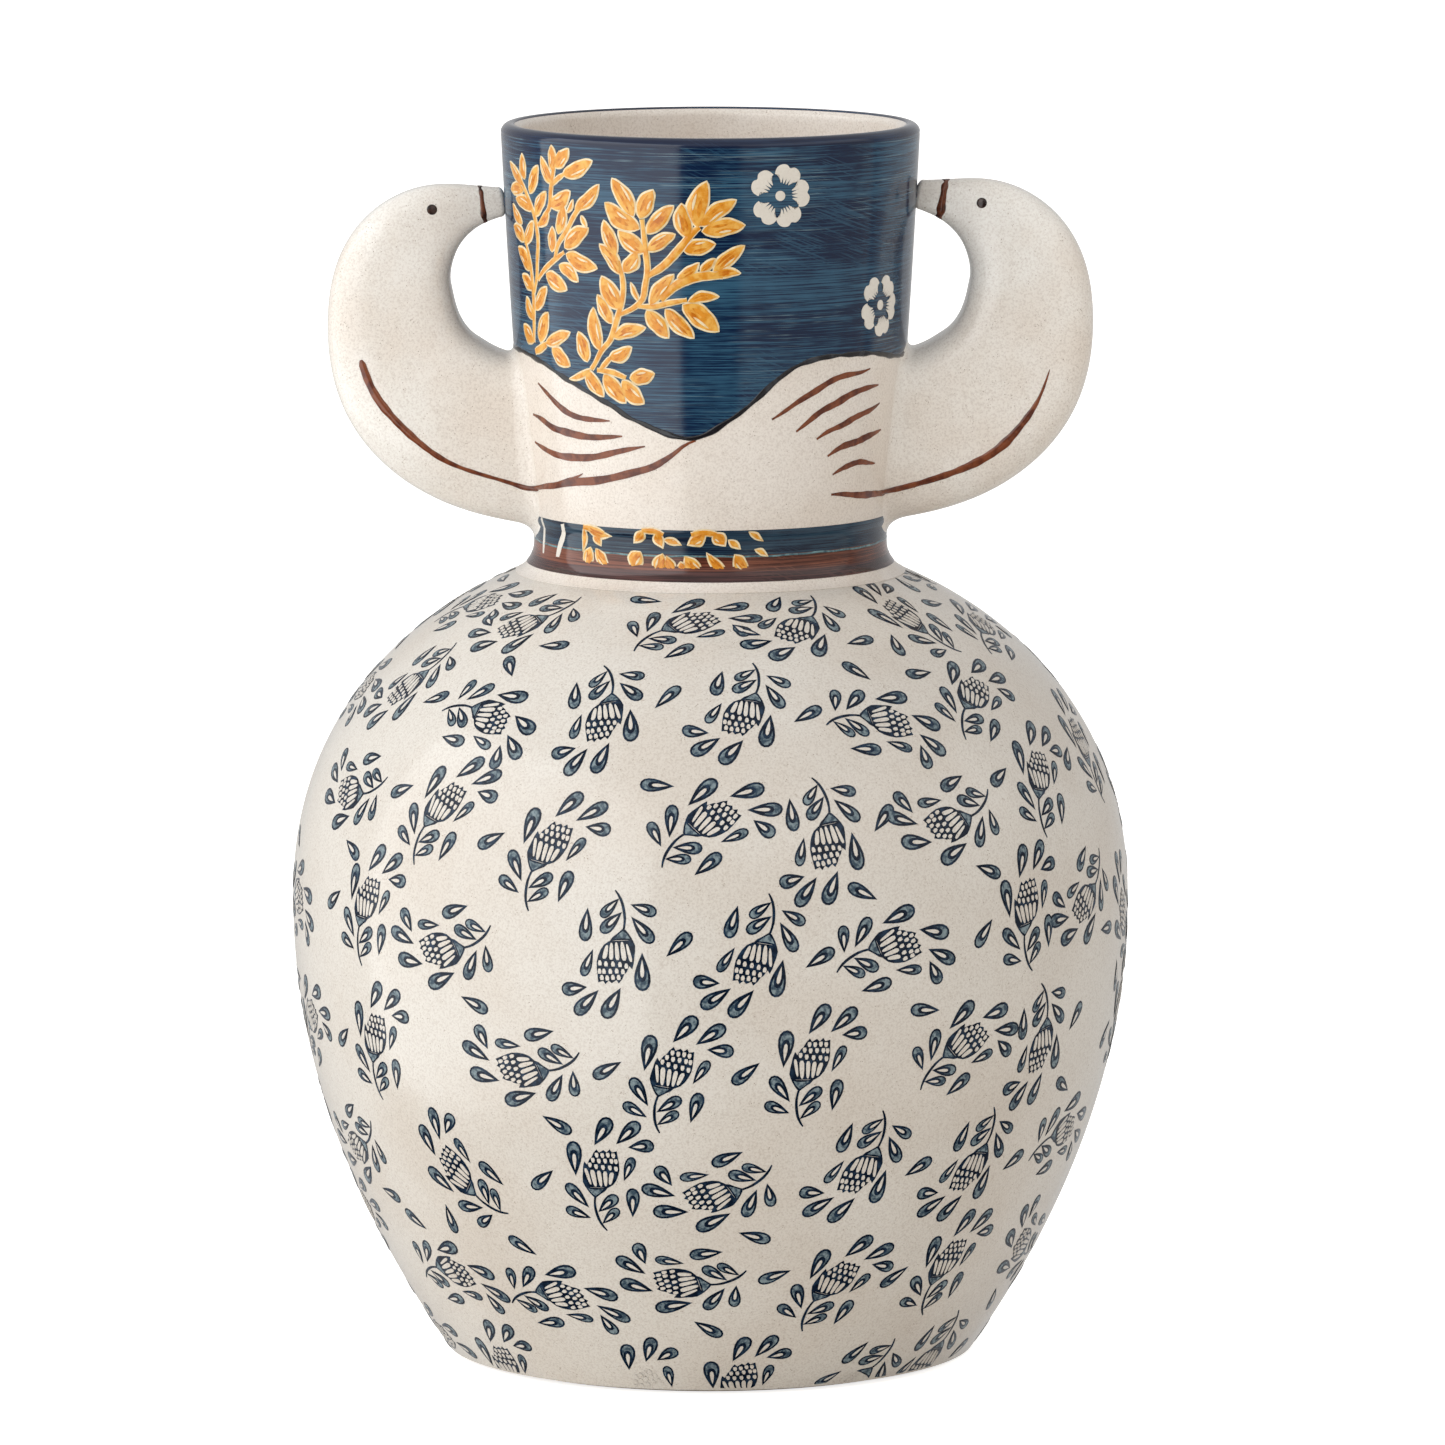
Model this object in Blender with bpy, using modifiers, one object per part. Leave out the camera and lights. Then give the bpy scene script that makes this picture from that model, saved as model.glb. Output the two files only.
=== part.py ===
"""Glazed stoneware vase with two bird handles.

The vase is put together from leather-hard clay pieces before it is fired: a round belly, a turned
foot ring under its floor, a flared neck, and two hollow birds whose tails and beaks are stuck to the
neck. Every joint is filled with slip, a thick clay paste, and each fillet of slip is a piece too.

Metres, +Z up. The vase's axis is Z, and it stands on z = 0. The birds lie in the XZ plane.
"""

import math

import bmesh
import bpy
from mathutils import Matrix, Vector

# Driving dimensions
HEIGHT = 0.3686  # foot to lip
BELLY_RADIUS = 0.125  # at the widest ring
WIDEST_Z = 0.136  # height of that ring
HEEL_RADIUS = 0.078  # where the belly's wall would meet the ground
HEEL_Z = 0.0015  # the glazed wall stops this far above the ground
SHOULDER_RISE = 0.1105  # height above the widest ring where the shoulder would close
SHOULDER_POWER = 2.2  # 2 is an ellipse; a little more gives a squarer shoulder
SEAT_RADIUS = 0.053  # the belly's top ring, which the neck sits on
BELLY_WALL = 0.0065
FLOOR_THICKNESS = 0.009

NECK_RADIUS = 0.0525  # outside, at the straight waist
NECK_FLARE = 0.0097  # how much wider the lip is
FLARE_START_Z = 0.250
FLARE_POWER = 0.6
NECK_WALL = 0.0052

FOOT_OUTER_RADIUS = 0.074
FOOT_WALL = 0.010
FOOT_HEIGHT = 0.005  # up to the underside of the floor

JOINT_GAP = 0.0003  # between pieces that touch
SLIP_WIDTH = 0.0052  # how far a fillet of slip runs over each piece that it joins
BEAK_CLEARANCE = 0.0018  # the beak's end stays this far off the neck, and slip fills it
TURN_STEPS = 48

# The bird seen from the front: (distance from the axis, height, half width) down its middle line,
# from the tip of the beak over the head and breast to the tail inside the neck's wall.
BIRD_STATIONS = (
    (0.0620, 0.3458, 0.0037),
    (0.0680, 0.3446, 0.0054),
    (0.0810, 0.3400, 0.0110),
    (0.0925, 0.3270, 0.0168),
    (0.0944, 0.3100, 0.0196),
    (0.0880, 0.2920, 0.0228),
    (0.0710, 0.2785, 0.0242),
    (0.0480, 0.2735, 0.0250),
)
BIRD_FLATNESS = 0.66  # thickness over width
BIRD_WALL = 0.0062
HOLLOW_FROM = 3  # the first station that is wide enough to be hollow
SIDES = {"left": -1, "right": 1}
HEAD_LIFT = {"left": 0.0, "right": 0.0022}  # the right bird holds its head higher

GLAZE = {"cream": (0.74, 0.67, 0.58), "blue": (0.03, 0.07, 0.14), "bare": (0.62, 0.50, 0.39)}


def clear_scene():
    for obj in list(bpy.data.objects):
        bpy.data.objects.remove(obj, do_unlink=True)


def new_collection(name):
    collection = bpy.data.collections.new(name)
    bpy.context.scene.collection.children.link(collection)
    return collection


def glaze(name, colour, roughness):
    material = bpy.data.materials.new(name)
    material.use_nodes = True
    shader = material.node_tree.nodes["Principled BSDF"]
    shader.inputs["Base Color"].default_value = (*colour, 1.0)
    shader.inputs["Roughness"].default_value = roughness
    shader.inputs["Metallic"].default_value = 0.0
    return material


# Turned shapes


def belly_radius(z):
    """Below the widest ring a parabola down to the heel, above it a superellipse."""
    if z < WIDEST_Z:
        drop = (WIDEST_Z - z) / WIDEST_Z
        return BELLY_RADIUS - (BELLY_RADIUS - HEEL_RADIUS) * drop**2
    rise = (z - WIDEST_Z) / SHOULDER_RISE
    return BELLY_RADIUS * math.sqrt(max(0.0, 1.0 - rise**SHOULDER_POWER))


def belly_height(radius):
    """The height of the shoulder at a radius: the inverse of belly_radius above the widest ring."""
    share = 1.0 - (radius / BELLY_RADIUS) ** 2
    return WIDEST_Z + SHOULDER_RISE * share ** (1.0 / SHOULDER_POWER)


def neck_radius(z):
    """Straight at the waist, then a flare that is quick at first and nearly straight at the lip."""
    share = max(0.0, (z - FLARE_START_Z) / (HEIGHT - FLARE_START_Z))
    return NECK_RADIUS + NECK_FLARE * share**FLARE_POWER


def steps(start, end, count):
    return [start + (end - start) * i / count for i in range(count + 1)]


def offset_inwards(outline, distance):
    """Moves each point of an outline, which runs upwards, square to it and towards the axis."""
    moved = []
    for i, (r, z) in enumerate(outline):
        before = outline[max(i - 1, 0)]
        after = outline[min(i + 1, len(outline) - 1)]
        along = Vector((after[0] - before[0], after[1] - before[1])).normalized()
        moved.append((r - along.y * distance, z + along.x * distance))
    return moved


def turned(name, outline, material, collection, closed=False):
    """Turns an outline of (radius, height) points about Z. It runs down the outer side."""
    mesh = bpy.data.meshes.new(name)
    points = [(r, 0.0, z) for r, z in outline]
    edges = [(i, i + 1) for i in range(len(points) - 1)]
    if closed:
        edges.append((len(points) - 1, 0))
    mesh.from_pydata(points, edges, [])
    obj = bpy.data.objects.new(name, mesh)
    collection.objects.link(obj)
    screw = obj.modifiers.new("Turn", "SCREW")
    screw.axis = "Z"
    screw.angle = 2 * math.pi
    screw.steps = TURN_STEPS
    screw.render_steps = TURN_STEPS
    screw.use_merge_vertices = True
    screw.merge_threshold = 0.00001
    if material:
        mesh.materials.append(material)
    return obj


def make_belly(material, collection):
    """Shell with a thick floor, a recess under it for the foot ring and a flat seat on top."""
    seat_z = belly_height(SEAT_RADIUS)
    lower = [(belly_radius(z), z) for z in steps(HEEL_Z, WIDEST_Z, 8)]
    last_turn = math.acos(SEAT_RADIUS / BELLY_RADIUS)
    upper = []
    for angle in steps(0.0, last_turn, 11)[1:]:
        radius = BELLY_RADIUS * math.cos(angle)
        upper.append((radius, belly_height(radius)))
    outer = lower + upper
    floor_z = FOOT_HEIGHT + FLOOR_THICKNESS
    bore = NECK_RADIUS - NECK_WALL
    inner = [p for p in offset_inwards(outer, BELLY_WALL) if p[1] > floor_z + BELLY_WALL]
    inner = [p for p in inner if p[0] > bore + 0.004]
    floor_corner = belly_radius(floor_z) - 2 * BELLY_WALL
    recess_radius = FOOT_OUTER_RADIUS + JOINT_GAP
    outline = [(0.0, floor_z), (floor_corner, floor_z)]
    outline += inner
    outline += [(bore, seat_z - BELLY_WALL), (bore, seat_z)]
    outline += outer[::-1]
    outline += [(HEEL_RADIUS - 0.0015, HEEL_Z - 0.0005), (recess_radius, HEEL_Z)]
    outline += [(recess_radius, FOOT_HEIGHT), (0.0, FOOT_HEIGHT)]
    return turned("belly", outline, material, collection)


def make_foot_ring(material, collection):
    """Unglazed ring with eased edges. The vase rests on its flat lower face."""
    ease = 0.001
    outer, inner = FOOT_OUTER_RADIUS, FOOT_OUTER_RADIUS - FOOT_WALL
    top = FOOT_HEIGHT - JOINT_GAP
    outline = [(inner, top), (outer, top), (outer, ease), (outer - ease, 0.0)]
    outline += [(inner + ease, 0.0), (inner, ease)]
    return turned("foot_ring", outline, material, collection, closed=True)


def make_neck(material, collection):
    """Flared tube with a half-round lip, standing on the belly's seat."""
    bottom = belly_height(SEAT_RADIUS) + JOINT_GAP
    lip = NECK_WALL / 2
    lip_z = HEIGHT - lip
    straight = [bottom, FLARE_START_Z]
    flare = [FLARE_START_Z + (lip_z - FLARE_START_Z) * s**1.6 for s in steps(0.0, 1.0, 8)[1:]]
    outer = [(neck_radius(z), z) for z in straight + flare]
    middle = neck_radius(lip_z) - lip
    rounded = [
        (middle + lip * math.cos(a), lip_z + lip * math.sin(a)) for a in steps(0.0, math.pi, 6)
    ]
    inner = [(r - NECK_WALL, z) for r, z in outer]
    outline = inner[:-1] + rounded[::-1] + outer[-2::-1]
    return turned("neck", outline, material, collection, closed=True)


def make_shoulder_slip(material, collection):
    """Cove of slip in the corner between the neck and the shoulder."""
    neck_side = NECK_RADIUS + JOINT_GAP
    seat_z = belly_height(SEAT_RADIUS) + JOINT_GAP
    top = (neck_side, seat_z + SLIP_WIDTH)
    corner = (SEAT_RADIUS + JOINT_GAP, seat_z + JOINT_GAP)
    far_radius = SEAT_RADIUS + SLIP_WIDTH
    far = (far_radius, belly_height(far_radius) + 3 * JOINT_GAP)
    cove = []
    for s in steps(0.0, 1.0, 5):
        keep = [(1 - s) ** 2, 2 * s * (1 - s), s**2]
        cove.append(tuple(keep[0] * a + keep[1] * b + keep[2] * c for a, b, c in zip(top, corner, far)))
    under = []
    for radius in steps(far_radius, SEAT_RADIUS, 3):
        under.append((radius, belly_height(radius) + 2 * JOINT_GAP))
    outline = cove + under[1:] + [(neck_side, seat_z + JOINT_GAP)]
    return turned("shoulder_slip", outline, material, collection, closed=True)


# Birds


def bird_curve(name, side, grow, first=0, last=len(BIRD_STATIONS), ends_at=None):
    """The bird's body, or its stations from first up to last, as a round tube of changing radius.

    grow widens it on every side, a negative value gives the hollow, and ends_at moves the last
    station to another distance from the axis.
    """
    curve = bpy.data.curves.new(name, "CURVE")
    curve.dimensions = "3D"
    curve.bevel_depth = 1.0
    curve.bevel_resolution = 4
    curve.resolution_u = 3
    curve.use_fill_caps = True
    stations = list(BIRD_STATIONS[first:last])
    if ends_at is not None:
        stations[-1] = (ends_at, *stations[-1][1:])
    spline = curve.splines.new("BEZIER")
    spline.radius_interpolation = "CARDINAL"
    spline.bezier_points.add(len(stations) - 1)
    for i, (out, z, half_width) in enumerate(stations):
        head_share = max(0.0, 1.0 - (i + first) / 4)
        point = spline.bezier_points[i]
        point.co = (SIDES[side] * out, 0.0, z + HEAD_LIFT[side] * head_share)
        point.radius = half_width + grow
        point.handle_left_type = "AUTO"
        point.handle_right_type = "AUTO"
    return curve


def solid_from_curve(curve, material, collection):
    """The curve as a closed mesh, flattened front to back."""
    source = bpy.data.objects.new(curve.name + "_line", curve)
    collection.objects.link(source)
    graph = bpy.context.evaluated_depsgraph_get()
    mesh = bpy.data.meshes.new_from_object(source.evaluated_get(graph))
    bpy.data.objects.remove(source)
    work = bmesh.new()
    work.from_mesh(mesh)
    bmesh.ops.remove_doubles(work, verts=work.verts, dist=0.00001)
    work.to_mesh(mesh)
    work.free()
    mesh.transform(Matrix.Diagonal((1.0, BIRD_FLATNESS, 1.0, 1.0)))
    obj = bpy.data.objects.new(curve.name, mesh)
    collection.objects.link(obj)
    mesh.materials.clear()
    if material:
        mesh.materials.append(material)
    return obj


def as_cutter(obj):
    obj.hide_render = True
    obj.display_type = "WIRE"
    return obj


def cut(obj, cutter, operation="DIFFERENCE"):
    boolean = obj.modifiers.new(f"{operation.title()} {cutter.name}", "BOOLEAN")
    boolean.operation = operation
    boolean.object = cutter


def neck_cutter(name, grow, cutters):
    """The space that the neck fills, wall and bore together, grown outwards."""
    heights = steps(FLARE_START_Z - 0.012, HEIGHT, 9)
    outer = [(neck_radius(z) + grow, z) for z in heights]
    outline = [(0.0, heights[-1])] + outer[::-1] + [(0.0, heights[0])]
    return as_cutter(turned(name, outline, None, cutters))


def make_bird(side, material, collection, cutters, neck_space):
    """Hollow bird: its cavity is open at the tail, where the neck's wall closes it."""
    tip = neck_radius(BIRD_STATIONS[0][1] + HEAD_LIFT[side]) + BEAK_CLEARANCE
    body = bird_curve(f"bird_handle_{side}", side, 0.0)
    body.splines[0].bezier_points[0].co.x = SIDES[side] * tip
    bird = solid_from_curve(body, material, collection)
    hollow = bird_curve(f"bird_hollow_{side}", side, -BIRD_WALL, first=HOLLOW_FROM, ends_at=0.040)
    cut(bird, as_cutter(solid_from_curve(hollow, None, cutters)))
    cut(bird, neck_space)
    return bird


def make_tail_slip(side, material, collection, cutters, neck_space, slip_space):
    """Collar of slip round the tail where it meets the neck."""
    collar = solid_from_curve(
        bird_curve(f"tail_slip_{side}", side, SLIP_WIDTH / 2, first=5), material, collection
    )
    tail = solid_from_curve(bird_curve(f"tail_space_{side}", side, 1.5 * JOINT_GAP), None, cutters)
    cut(collar, slip_space, "INTERSECT")
    cut(collar, as_cutter(tail))
    cut(collar, neck_space)
    return collar


def make_beak_slip(side, material, collection, cutters, neck_space):
    """Short cone of slip between the end of the beak and the neck."""
    z = BIRD_STATIONS[0][1] + HEAD_LIFT[side]
    outer_end = neck_radius(z) + BEAK_CLEARANCE
    inner_end = neck_radius(z) - BEAK_CLEARANCE
    bpy.ops.mesh.primitive_cone_add(
        vertices=24,
        radius1=1.5 * BIRD_STATIONS[0][2],
        radius2=BIRD_STATIONS[0][2],
        depth=outer_end - inner_end,
        location=(SIDES[side] * (outer_end + inner_end) / 2, 0.0, z),
        rotation=(0.0, SIDES[side] * math.pi / 2, 0.0),
    )
    cone = bpy.context.active_object
    cone.name = f"beak_slip_{side}"
    cone.data.name = cone.name
    for owner in list(cone.users_collection):
        owner.objects.unlink(cone)
    collection.objects.link(cone)
    cone.data.materials.append(material)
    beak_line = bird_curve(f"beak_space_{side}", side, JOINT_GAP, last=3)
    beak_line.splines[0].bezier_points[0].co.x = SIDES[side] * (outer_end - JOINT_GAP)
    cut(cone, as_cutter(solid_from_curve(beak_line, None, cutters)))
    cut(cone, neck_space)
    return cone


def main():
    clear_scene()
    vase = new_collection("bird_handle_vase")
    cutters = new_collection("cutters")
    cream = glaze("cream_glaze", GLAZE["cream"], 0.12)
    blue = glaze("blue_glaze", GLAZE["blue"], 0.10)
    bare = glaze("bare_clay", GLAZE["bare"], 0.75)

    make_belly(cream, vase)
    make_foot_ring(bare, vase)
    make_neck(blue, vase)
    make_shoulder_slip(cream, vase)
    neck_space = neck_cutter("neck_space", JOINT_GAP, cutters)
    slip_space = neck_cutter("slip_space", SLIP_WIDTH, cutters)
    for side in SIDES:
        make_bird(side, cream, vase, cutters, neck_space)
        make_tail_slip(side, cream, vase, cutters, neck_space, slip_space)
        make_beak_slip(side, blue, vase, cutters, neck_space)


main()
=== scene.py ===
import math

import bpy
import numpy as np
from mathutils.bvhtree import BVHTree
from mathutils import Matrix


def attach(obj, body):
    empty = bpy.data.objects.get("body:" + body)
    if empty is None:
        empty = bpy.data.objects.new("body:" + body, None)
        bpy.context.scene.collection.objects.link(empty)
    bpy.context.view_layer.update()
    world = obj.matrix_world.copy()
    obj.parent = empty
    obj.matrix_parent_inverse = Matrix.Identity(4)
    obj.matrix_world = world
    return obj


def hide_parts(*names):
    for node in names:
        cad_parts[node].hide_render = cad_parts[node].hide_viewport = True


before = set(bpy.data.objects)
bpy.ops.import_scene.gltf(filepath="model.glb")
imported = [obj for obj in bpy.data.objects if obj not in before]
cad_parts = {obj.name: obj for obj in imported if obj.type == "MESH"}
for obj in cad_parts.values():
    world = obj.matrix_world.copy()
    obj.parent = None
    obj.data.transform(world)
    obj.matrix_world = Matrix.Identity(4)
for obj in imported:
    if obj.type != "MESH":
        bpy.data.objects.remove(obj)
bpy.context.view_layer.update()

# Glazed vase with two bird handles. All dictionaries hold millimetres and degrees round the vase's
# axis, 0 at the front and positive to the viewer's right, and metres are made when a mesh is made.

mm = 0.001
fullTurn = 2 * math.pi
print("stage 1: frame loaded,", len(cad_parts), "nodes")


# Meshes from arrays

# points (n, 3) in millimetres, corners is the flat list of face corners, sizes the corners per face.
# normals (n, 3), where given, are the ones that the glaze over the piece has.
def makePiece(name, points, corners, sizes, material, normals=None, sharp=40.0, replaces=None):
    mesh = bpy.data.meshes.new(name)
    mesh.vertices.add(len(points))
    mesh.vertices.foreach_set("co", (points * mm).astype(np.float32).ravel())
    mesh.loops.add(len(corners))
    mesh.loops.foreach_set("vertex_index", np.asarray(corners, np.int32))
    mesh.polygons.add(len(sizes))
    starts = np.concatenate(([0], np.cumsum(sizes)[:-1])).astype(np.int32)
    mesh.polygons.foreach_set("loop_start", starts)
    mesh.update(calc_edges=True)
    mesh.validate()
    mesh.polygons.foreach_set("use_smooth", np.ones(len(mesh.polygons), bool))
    if normals is not None:
        mesh.normals_split_custom_set_from_vertices(normals.tolist())
    elif sharp:
        mesh.set_sharp_from_angle(angle=math.radians(sharp))
    mesh.materials.append(material)
    piece = bpy.data.objects.new(name, mesh)
    bpy.context.scene.collection.objects.link(piece)
    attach(piece, "root")
    if replaces:
        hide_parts(replaces)


# Quads of a grid of rows x columns whose vertices are numbered row by row; wrapRows and wrapColumns
# join the last row or column to the first. Rows run up and columns to the right, seen from outside.
def gridCorners(rows, columns, wrapRows=False, wrapColumns=False):
    row = np.arange(rows if wrapRows else rows - 1)
    column = np.arange(columns if wrapColumns else columns - 1)
    a, b = np.meshgrid(row, column, indexing="ij")
    up = (a + 1) % rows
    right = (b + 1) % columns
    quads = np.stack([a * columns + b, a * columns + right, up * columns + right, up * columns + b], -1)
    return quads.reshape(-1, 4)


# Faces of a skin of rings with a fan at each end, round the two points that come after the rings.
def cappedCorners(rings, steps):
    quads = gridCorners(rings, steps, wrapColumns=True)
    first = np.arange(steps)
    following = (first + 1) % steps
    last = (rings - 1) * steps
    pole = np.full(steps, rings * steps)
    low = np.stack([pole, following, first], -1)
    high = np.stack([pole + 1, last + first, last + following], -1)
    corners = np.concatenate((quads.ravel(), low.ravel(), high.ravel()))
    return corners, np.repeat([4, 3], [len(quads), 2 * steps])


# The same faces with their corners in the opposite order.
def turnFaces(corners, sizes):
    ends = np.cumsum(sizes)
    starts = ends - sizes
    face = np.repeat(np.arange(len(sizes)), sizes)
    return corners[starts[face] + ends[face] - 1 - np.arange(len(corners))]


# A mesh together with its mirror image on the back of the vase.
def withBack(points, corners, sizes):
    back = turnFaces(corners, sizes) + len(points)
    return np.vstack((points, points * [1, -1, 1])), np.concatenate((corners, back)), np.tile(sizes, 2)


def unit(vectors):
    return vectors / np.maximum(np.linalg.norm(vectors, axis=-1, keepdims=True), 1e-9)


# The points (r sin a, -r cos a, z), angles in radians.
def roundAxis(r, angle, z):
    return np.stack(np.broadcast_arrays(r * np.sin(angle), -r * np.cos(angle), z), -1)


# A quadratic curve (1-t)^2 first + 2t(1-t) middle + t^2 last.
def bendLine(first, middle, last, t):
    return (1 - t) ** 2 * first + 2 * t * (1 - t) * middle + t**2 * last


# A natural cubic spline through values (n, k) at the knots (n), read at the places in at.
def splineAt(knots, values, at):
    knots = np.asarray(knots, float)
    values = np.asarray(values, float)
    n = len(knots)
    gap = np.diff(knots)
    matrix = np.eye(n)
    right = np.zeros_like(values)
    inner = np.arange(1, n - 1)
    matrix[inner, inner - 1] = gap[:-1]
    matrix[inner, inner] = 2 * (gap[:-1] + gap[1:])
    matrix[inner, inner + 1] = gap[1:]
    right[1:-1] = 6 * np.diff(np.diff(values, axis=0) / gap[:, None], axis=0)
    bend = np.linalg.solve(matrix, right)
    i = np.clip(np.searchsorted(knots, at, side="right") - 1, 0, n - 2)
    a = ((knots[i + 1] - at) / gap[i])[:, None]
    b = 1 - a
    curved = (a**3 - a) * bend[i] + (b**3 - b) * bend[i + 1]
    return a * values[i] + b * values[i + 1] + curved * (gap[i][:, None] ** 2) / 6


def lengthAlong(points):
    return np.concatenate(([0.0], np.cumsum(np.linalg.norm(np.diff(points, axis=0), axis=1))))


# A smooth line through points, read at count places evenly along it.
def smoothLine(points, count):
    points = np.asarray(points, float)
    length = lengthAlong(points)
    return splineAt(length, points, np.linspace(0, length[-1], count))


# Shader groups: each reads Object coordinates and puts out Colour, Roughness and Height

def newGroup(name, inputs):
    group = bpy.data.node_groups.new(name, "ShaderNodeTree")
    for label, value in inputs.items():
        kind = "NodeSocketColor" if isinstance(value, tuple) else "NodeSocketFloat"
        group.interface.new_socket(label, in_out="INPUT", socket_type=kind).default_value = value
    for label, kind in (("Colour", "NodeSocketColor"), ("Roughness", "NodeSocketFloat"),
                        ("Height", "NodeSocketFloat")):
        group.interface.new_socket(label, in_out="OUTPUT", socket_type=kind)
    place = addNode(group, "ShaderNodeTexCoord").outputs["Object"]
    return group, group.nodes.new("NodeGroupInput").outputs, place


# Roughness is base plus share times the mask that it follows.
def closeGroup(group, colour, mask, share, base, height):
    out = group.nodes.new("NodeGroupOutput")
    group.links.new(colour, out.inputs["Colour"])
    group.links.new(mathNode(group, "ADD", times(group, mask, share), base), out.inputs["Roughness"])
    group.links.new(height, out.inputs["Height"])
    return group


def addNode(tree, kind, settings=None, values=None):
    node = tree.nodes.new(kind)
    for key, value in (settings or {}).items():
        setattr(node, key, value)
    for key, value in (values or {}).items():
        setInput(tree, node.inputs[key], value)
    return node


# Links a socket to an input, or sets the input to a plain value.
def setInput(tree, target, value):
    if isinstance(value, bpy.types.NodeSocket):
        tree.links.new(value, target)
    else:
        target.default_value = value


# Noise on a place that is first turned by tilt about Y, and then stretched.
def noiseNode(tree, place, scale, detail=3.0, rough=0.5, stretch=(1, 1, 1), tilt=0.0):
    values = {"Vector": place, "Rotation": (0, math.radians(tilt), 0), "Scale": tuple(1 / s for s in stretch)}
    mapping = addNode(tree, "ShaderNodeMapping", {"vector_type": "TEXTURE"}, values)
    values = {"Vector": mapping.outputs["Vector"], "Scale": scale, "Detail": detail, "Roughness": rough}
    return addNode(tree, "ShaderNodeTexNoise", values=values).outputs["Fac"]


def rangeNode(tree, value, low, high, toLow=0.0, toHigh=1.0):
    values = {"Value": value, "From Min": low, "From Max": high, "To Min": toLow, "To Max": toHigh}
    return addNode(tree, "ShaderNodeMapRange", {"interpolation_type": "SMOOTHSTEP"}, values).outputs["Result"]


def mathNode(tree, operation, first, second):
    return addNode(tree, "ShaderNodeMath", {"operation": operation}, {0: first, 1: second}).outputs[0]


def times(tree, first, second):
    return mathNode(tree, "MULTIPLY", first, second)


def mixColour(tree, share, first, second):
    node = addNode(tree, "ShaderNodeMix", {"data_type": "RGBA"}, {"Factor": share})
    colours = [s for s in node.inputs if s.type == "RGBA"]
    tree.links.new(first, colours[0])
    tree.links.new(second, colours[1])
    return [s for s in node.outputs if s.type == "RGBA"][0]


# Glaze over speckled clay: broad warm and cool clouds, a fine grain, and small iron specks.
def makeSpeckleGroup():
    group, given, place = newGroup("speckledGlaze", {
        "Colour": (0.8, 0.75, 0.7, 1), "Cloud Colour": (0.7, 0.6, 0.5, 1),
        "Speck Colour": (0.3, 0.2, 0.12, 1), "Cloud": 0.5, "Speck": 0.5})
    cloud = rangeNode(group, noiseNode(group, place, 22.0, 4.0, 0.55), 0.35, 0.72)
    fine = rangeNode(group, noiseNode(group, place, 1500.0, 3.0, 0.7), 0.42, 0.66)
    values = {"Vector": place, "Scale": 1300.0, "Randomness": 1.0}
    cells = addNode(group, "ShaderNodeTexVoronoi", {"feature": "F1"}, values)
    dot = rangeNode(group, cells.outputs["Distance"], 0.08, 0.28, 1.0, 0.0)
    patchy = rangeNode(group, noiseNode(group, place, 420.0, 2.0, 0.5), 0.52, 0.66)
    speck = times(group, times(group, dot, patchy), given["Speck"])
    grain = times(group, times(group, fine, 0.26), given["Speck"])
    cloudy = mixColour(group, times(group, cloud, given["Cloud"]), given["Colour"], given["Cloud Colour"])
    grained = mixColour(group, grain, cloudy, given["Speck Colour"])
    colour = mixColour(group, speck, grained, given["Speck Colour"])
    return closeGroup(group, colour, cloud, 0.05, 0.13, noiseNode(group, place, 55.0, 2.0, 0.5))


# Colour put on with a flat brush as the pot turns: fine level streaks, thick and thin, and missed lines.
def makeBrushGroup():
    group, given, place = newGroup("brushedGlaze", {
        "Deep": (0.01, 0.03, 0.07, 1), "Thin": (0.08, 0.18, 0.25, 1), "Bare": (0.3, 0.4, 0.45, 1),
        "Streaks": 0.6, "Missed": 0.5})
    wide = noiseNode(group, place, 1.0, 3.0, 0.6, (9, 9, 90))
    fine = noiseNode(group, place, 1.0, 4.0, 0.7, (34, 34, 2300))
    blot = noiseNode(group, place, 38.0, 3.0, 0.55)
    mix = mathNode(group, "ADD", times(group, wide, 0.22), times(group, fine, 0.56))
    mix = mathNode(group, "ADD", mix, times(group, blot, 0.22))
    thin = times(group, rangeNode(group, mix, 0.455, 0.575), given["Streaks"])
    gaps = noiseNode(group, place, 1.0, 3.0, 0.7, (26, 26, 2700))
    rare = rangeNode(group, noiseNode(group, place, 42.0, 3.0, 0.55), 0.45, 0.60)
    missed = times(group, times(group, rangeNode(group, gaps, 0.56, 0.66), rare), given["Missed"])
    # patches where the brush went across at a slant
    slant = noiseNode(group, place, 1.0, 3.0, 0.6, (60, 60, 2100), 24.0)
    patch = rangeNode(group, noiseNode(group, place, 34.0, 2.0, 0.5), 0.50, 0.60)
    slanted = times(group, rangeNode(group, slant, 0.52, 0.60), patch)
    slanted = times(group, slanted, times(group, given["Streaks"], 0.6))
    body = mixColour(group, mathNode(group, "MAXIMUM", thin, slanted), given["Deep"], given["Thin"])
    return closeGroup(group, mixColour(group, missed, body, given["Bare"]), fine, 0.06, 0.06, fine)


# A colour that pools and thins as it dries, from dark through to light.
def makeWashGroup():
    group, given, place = newGroup("pooledWash", {
        "Dark": (0.01, 0.02, 0.04, 1), "Light": (0.1, 0.15, 0.2, 1), "Size": 300.0, "Middle": 0.5})
    values = {"Vector": place, "Scale": given["Size"], "Detail": 4.0, "Roughness": 0.6}
    noise = addNode(group, "ShaderNodeTexNoise", values=values).outputs["Fac"]
    low = mathNode(group, "SUBTRACT", given["Middle"], 0.14)
    high = mathNode(group, "ADD", given["Middle"], 0.14)
    colour = mixColour(group, rangeNode(group, noise, low, high), given["Dark"], given["Light"])
    return closeGroup(group, colour, noise, 0.05, 0.10, noise)


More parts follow.
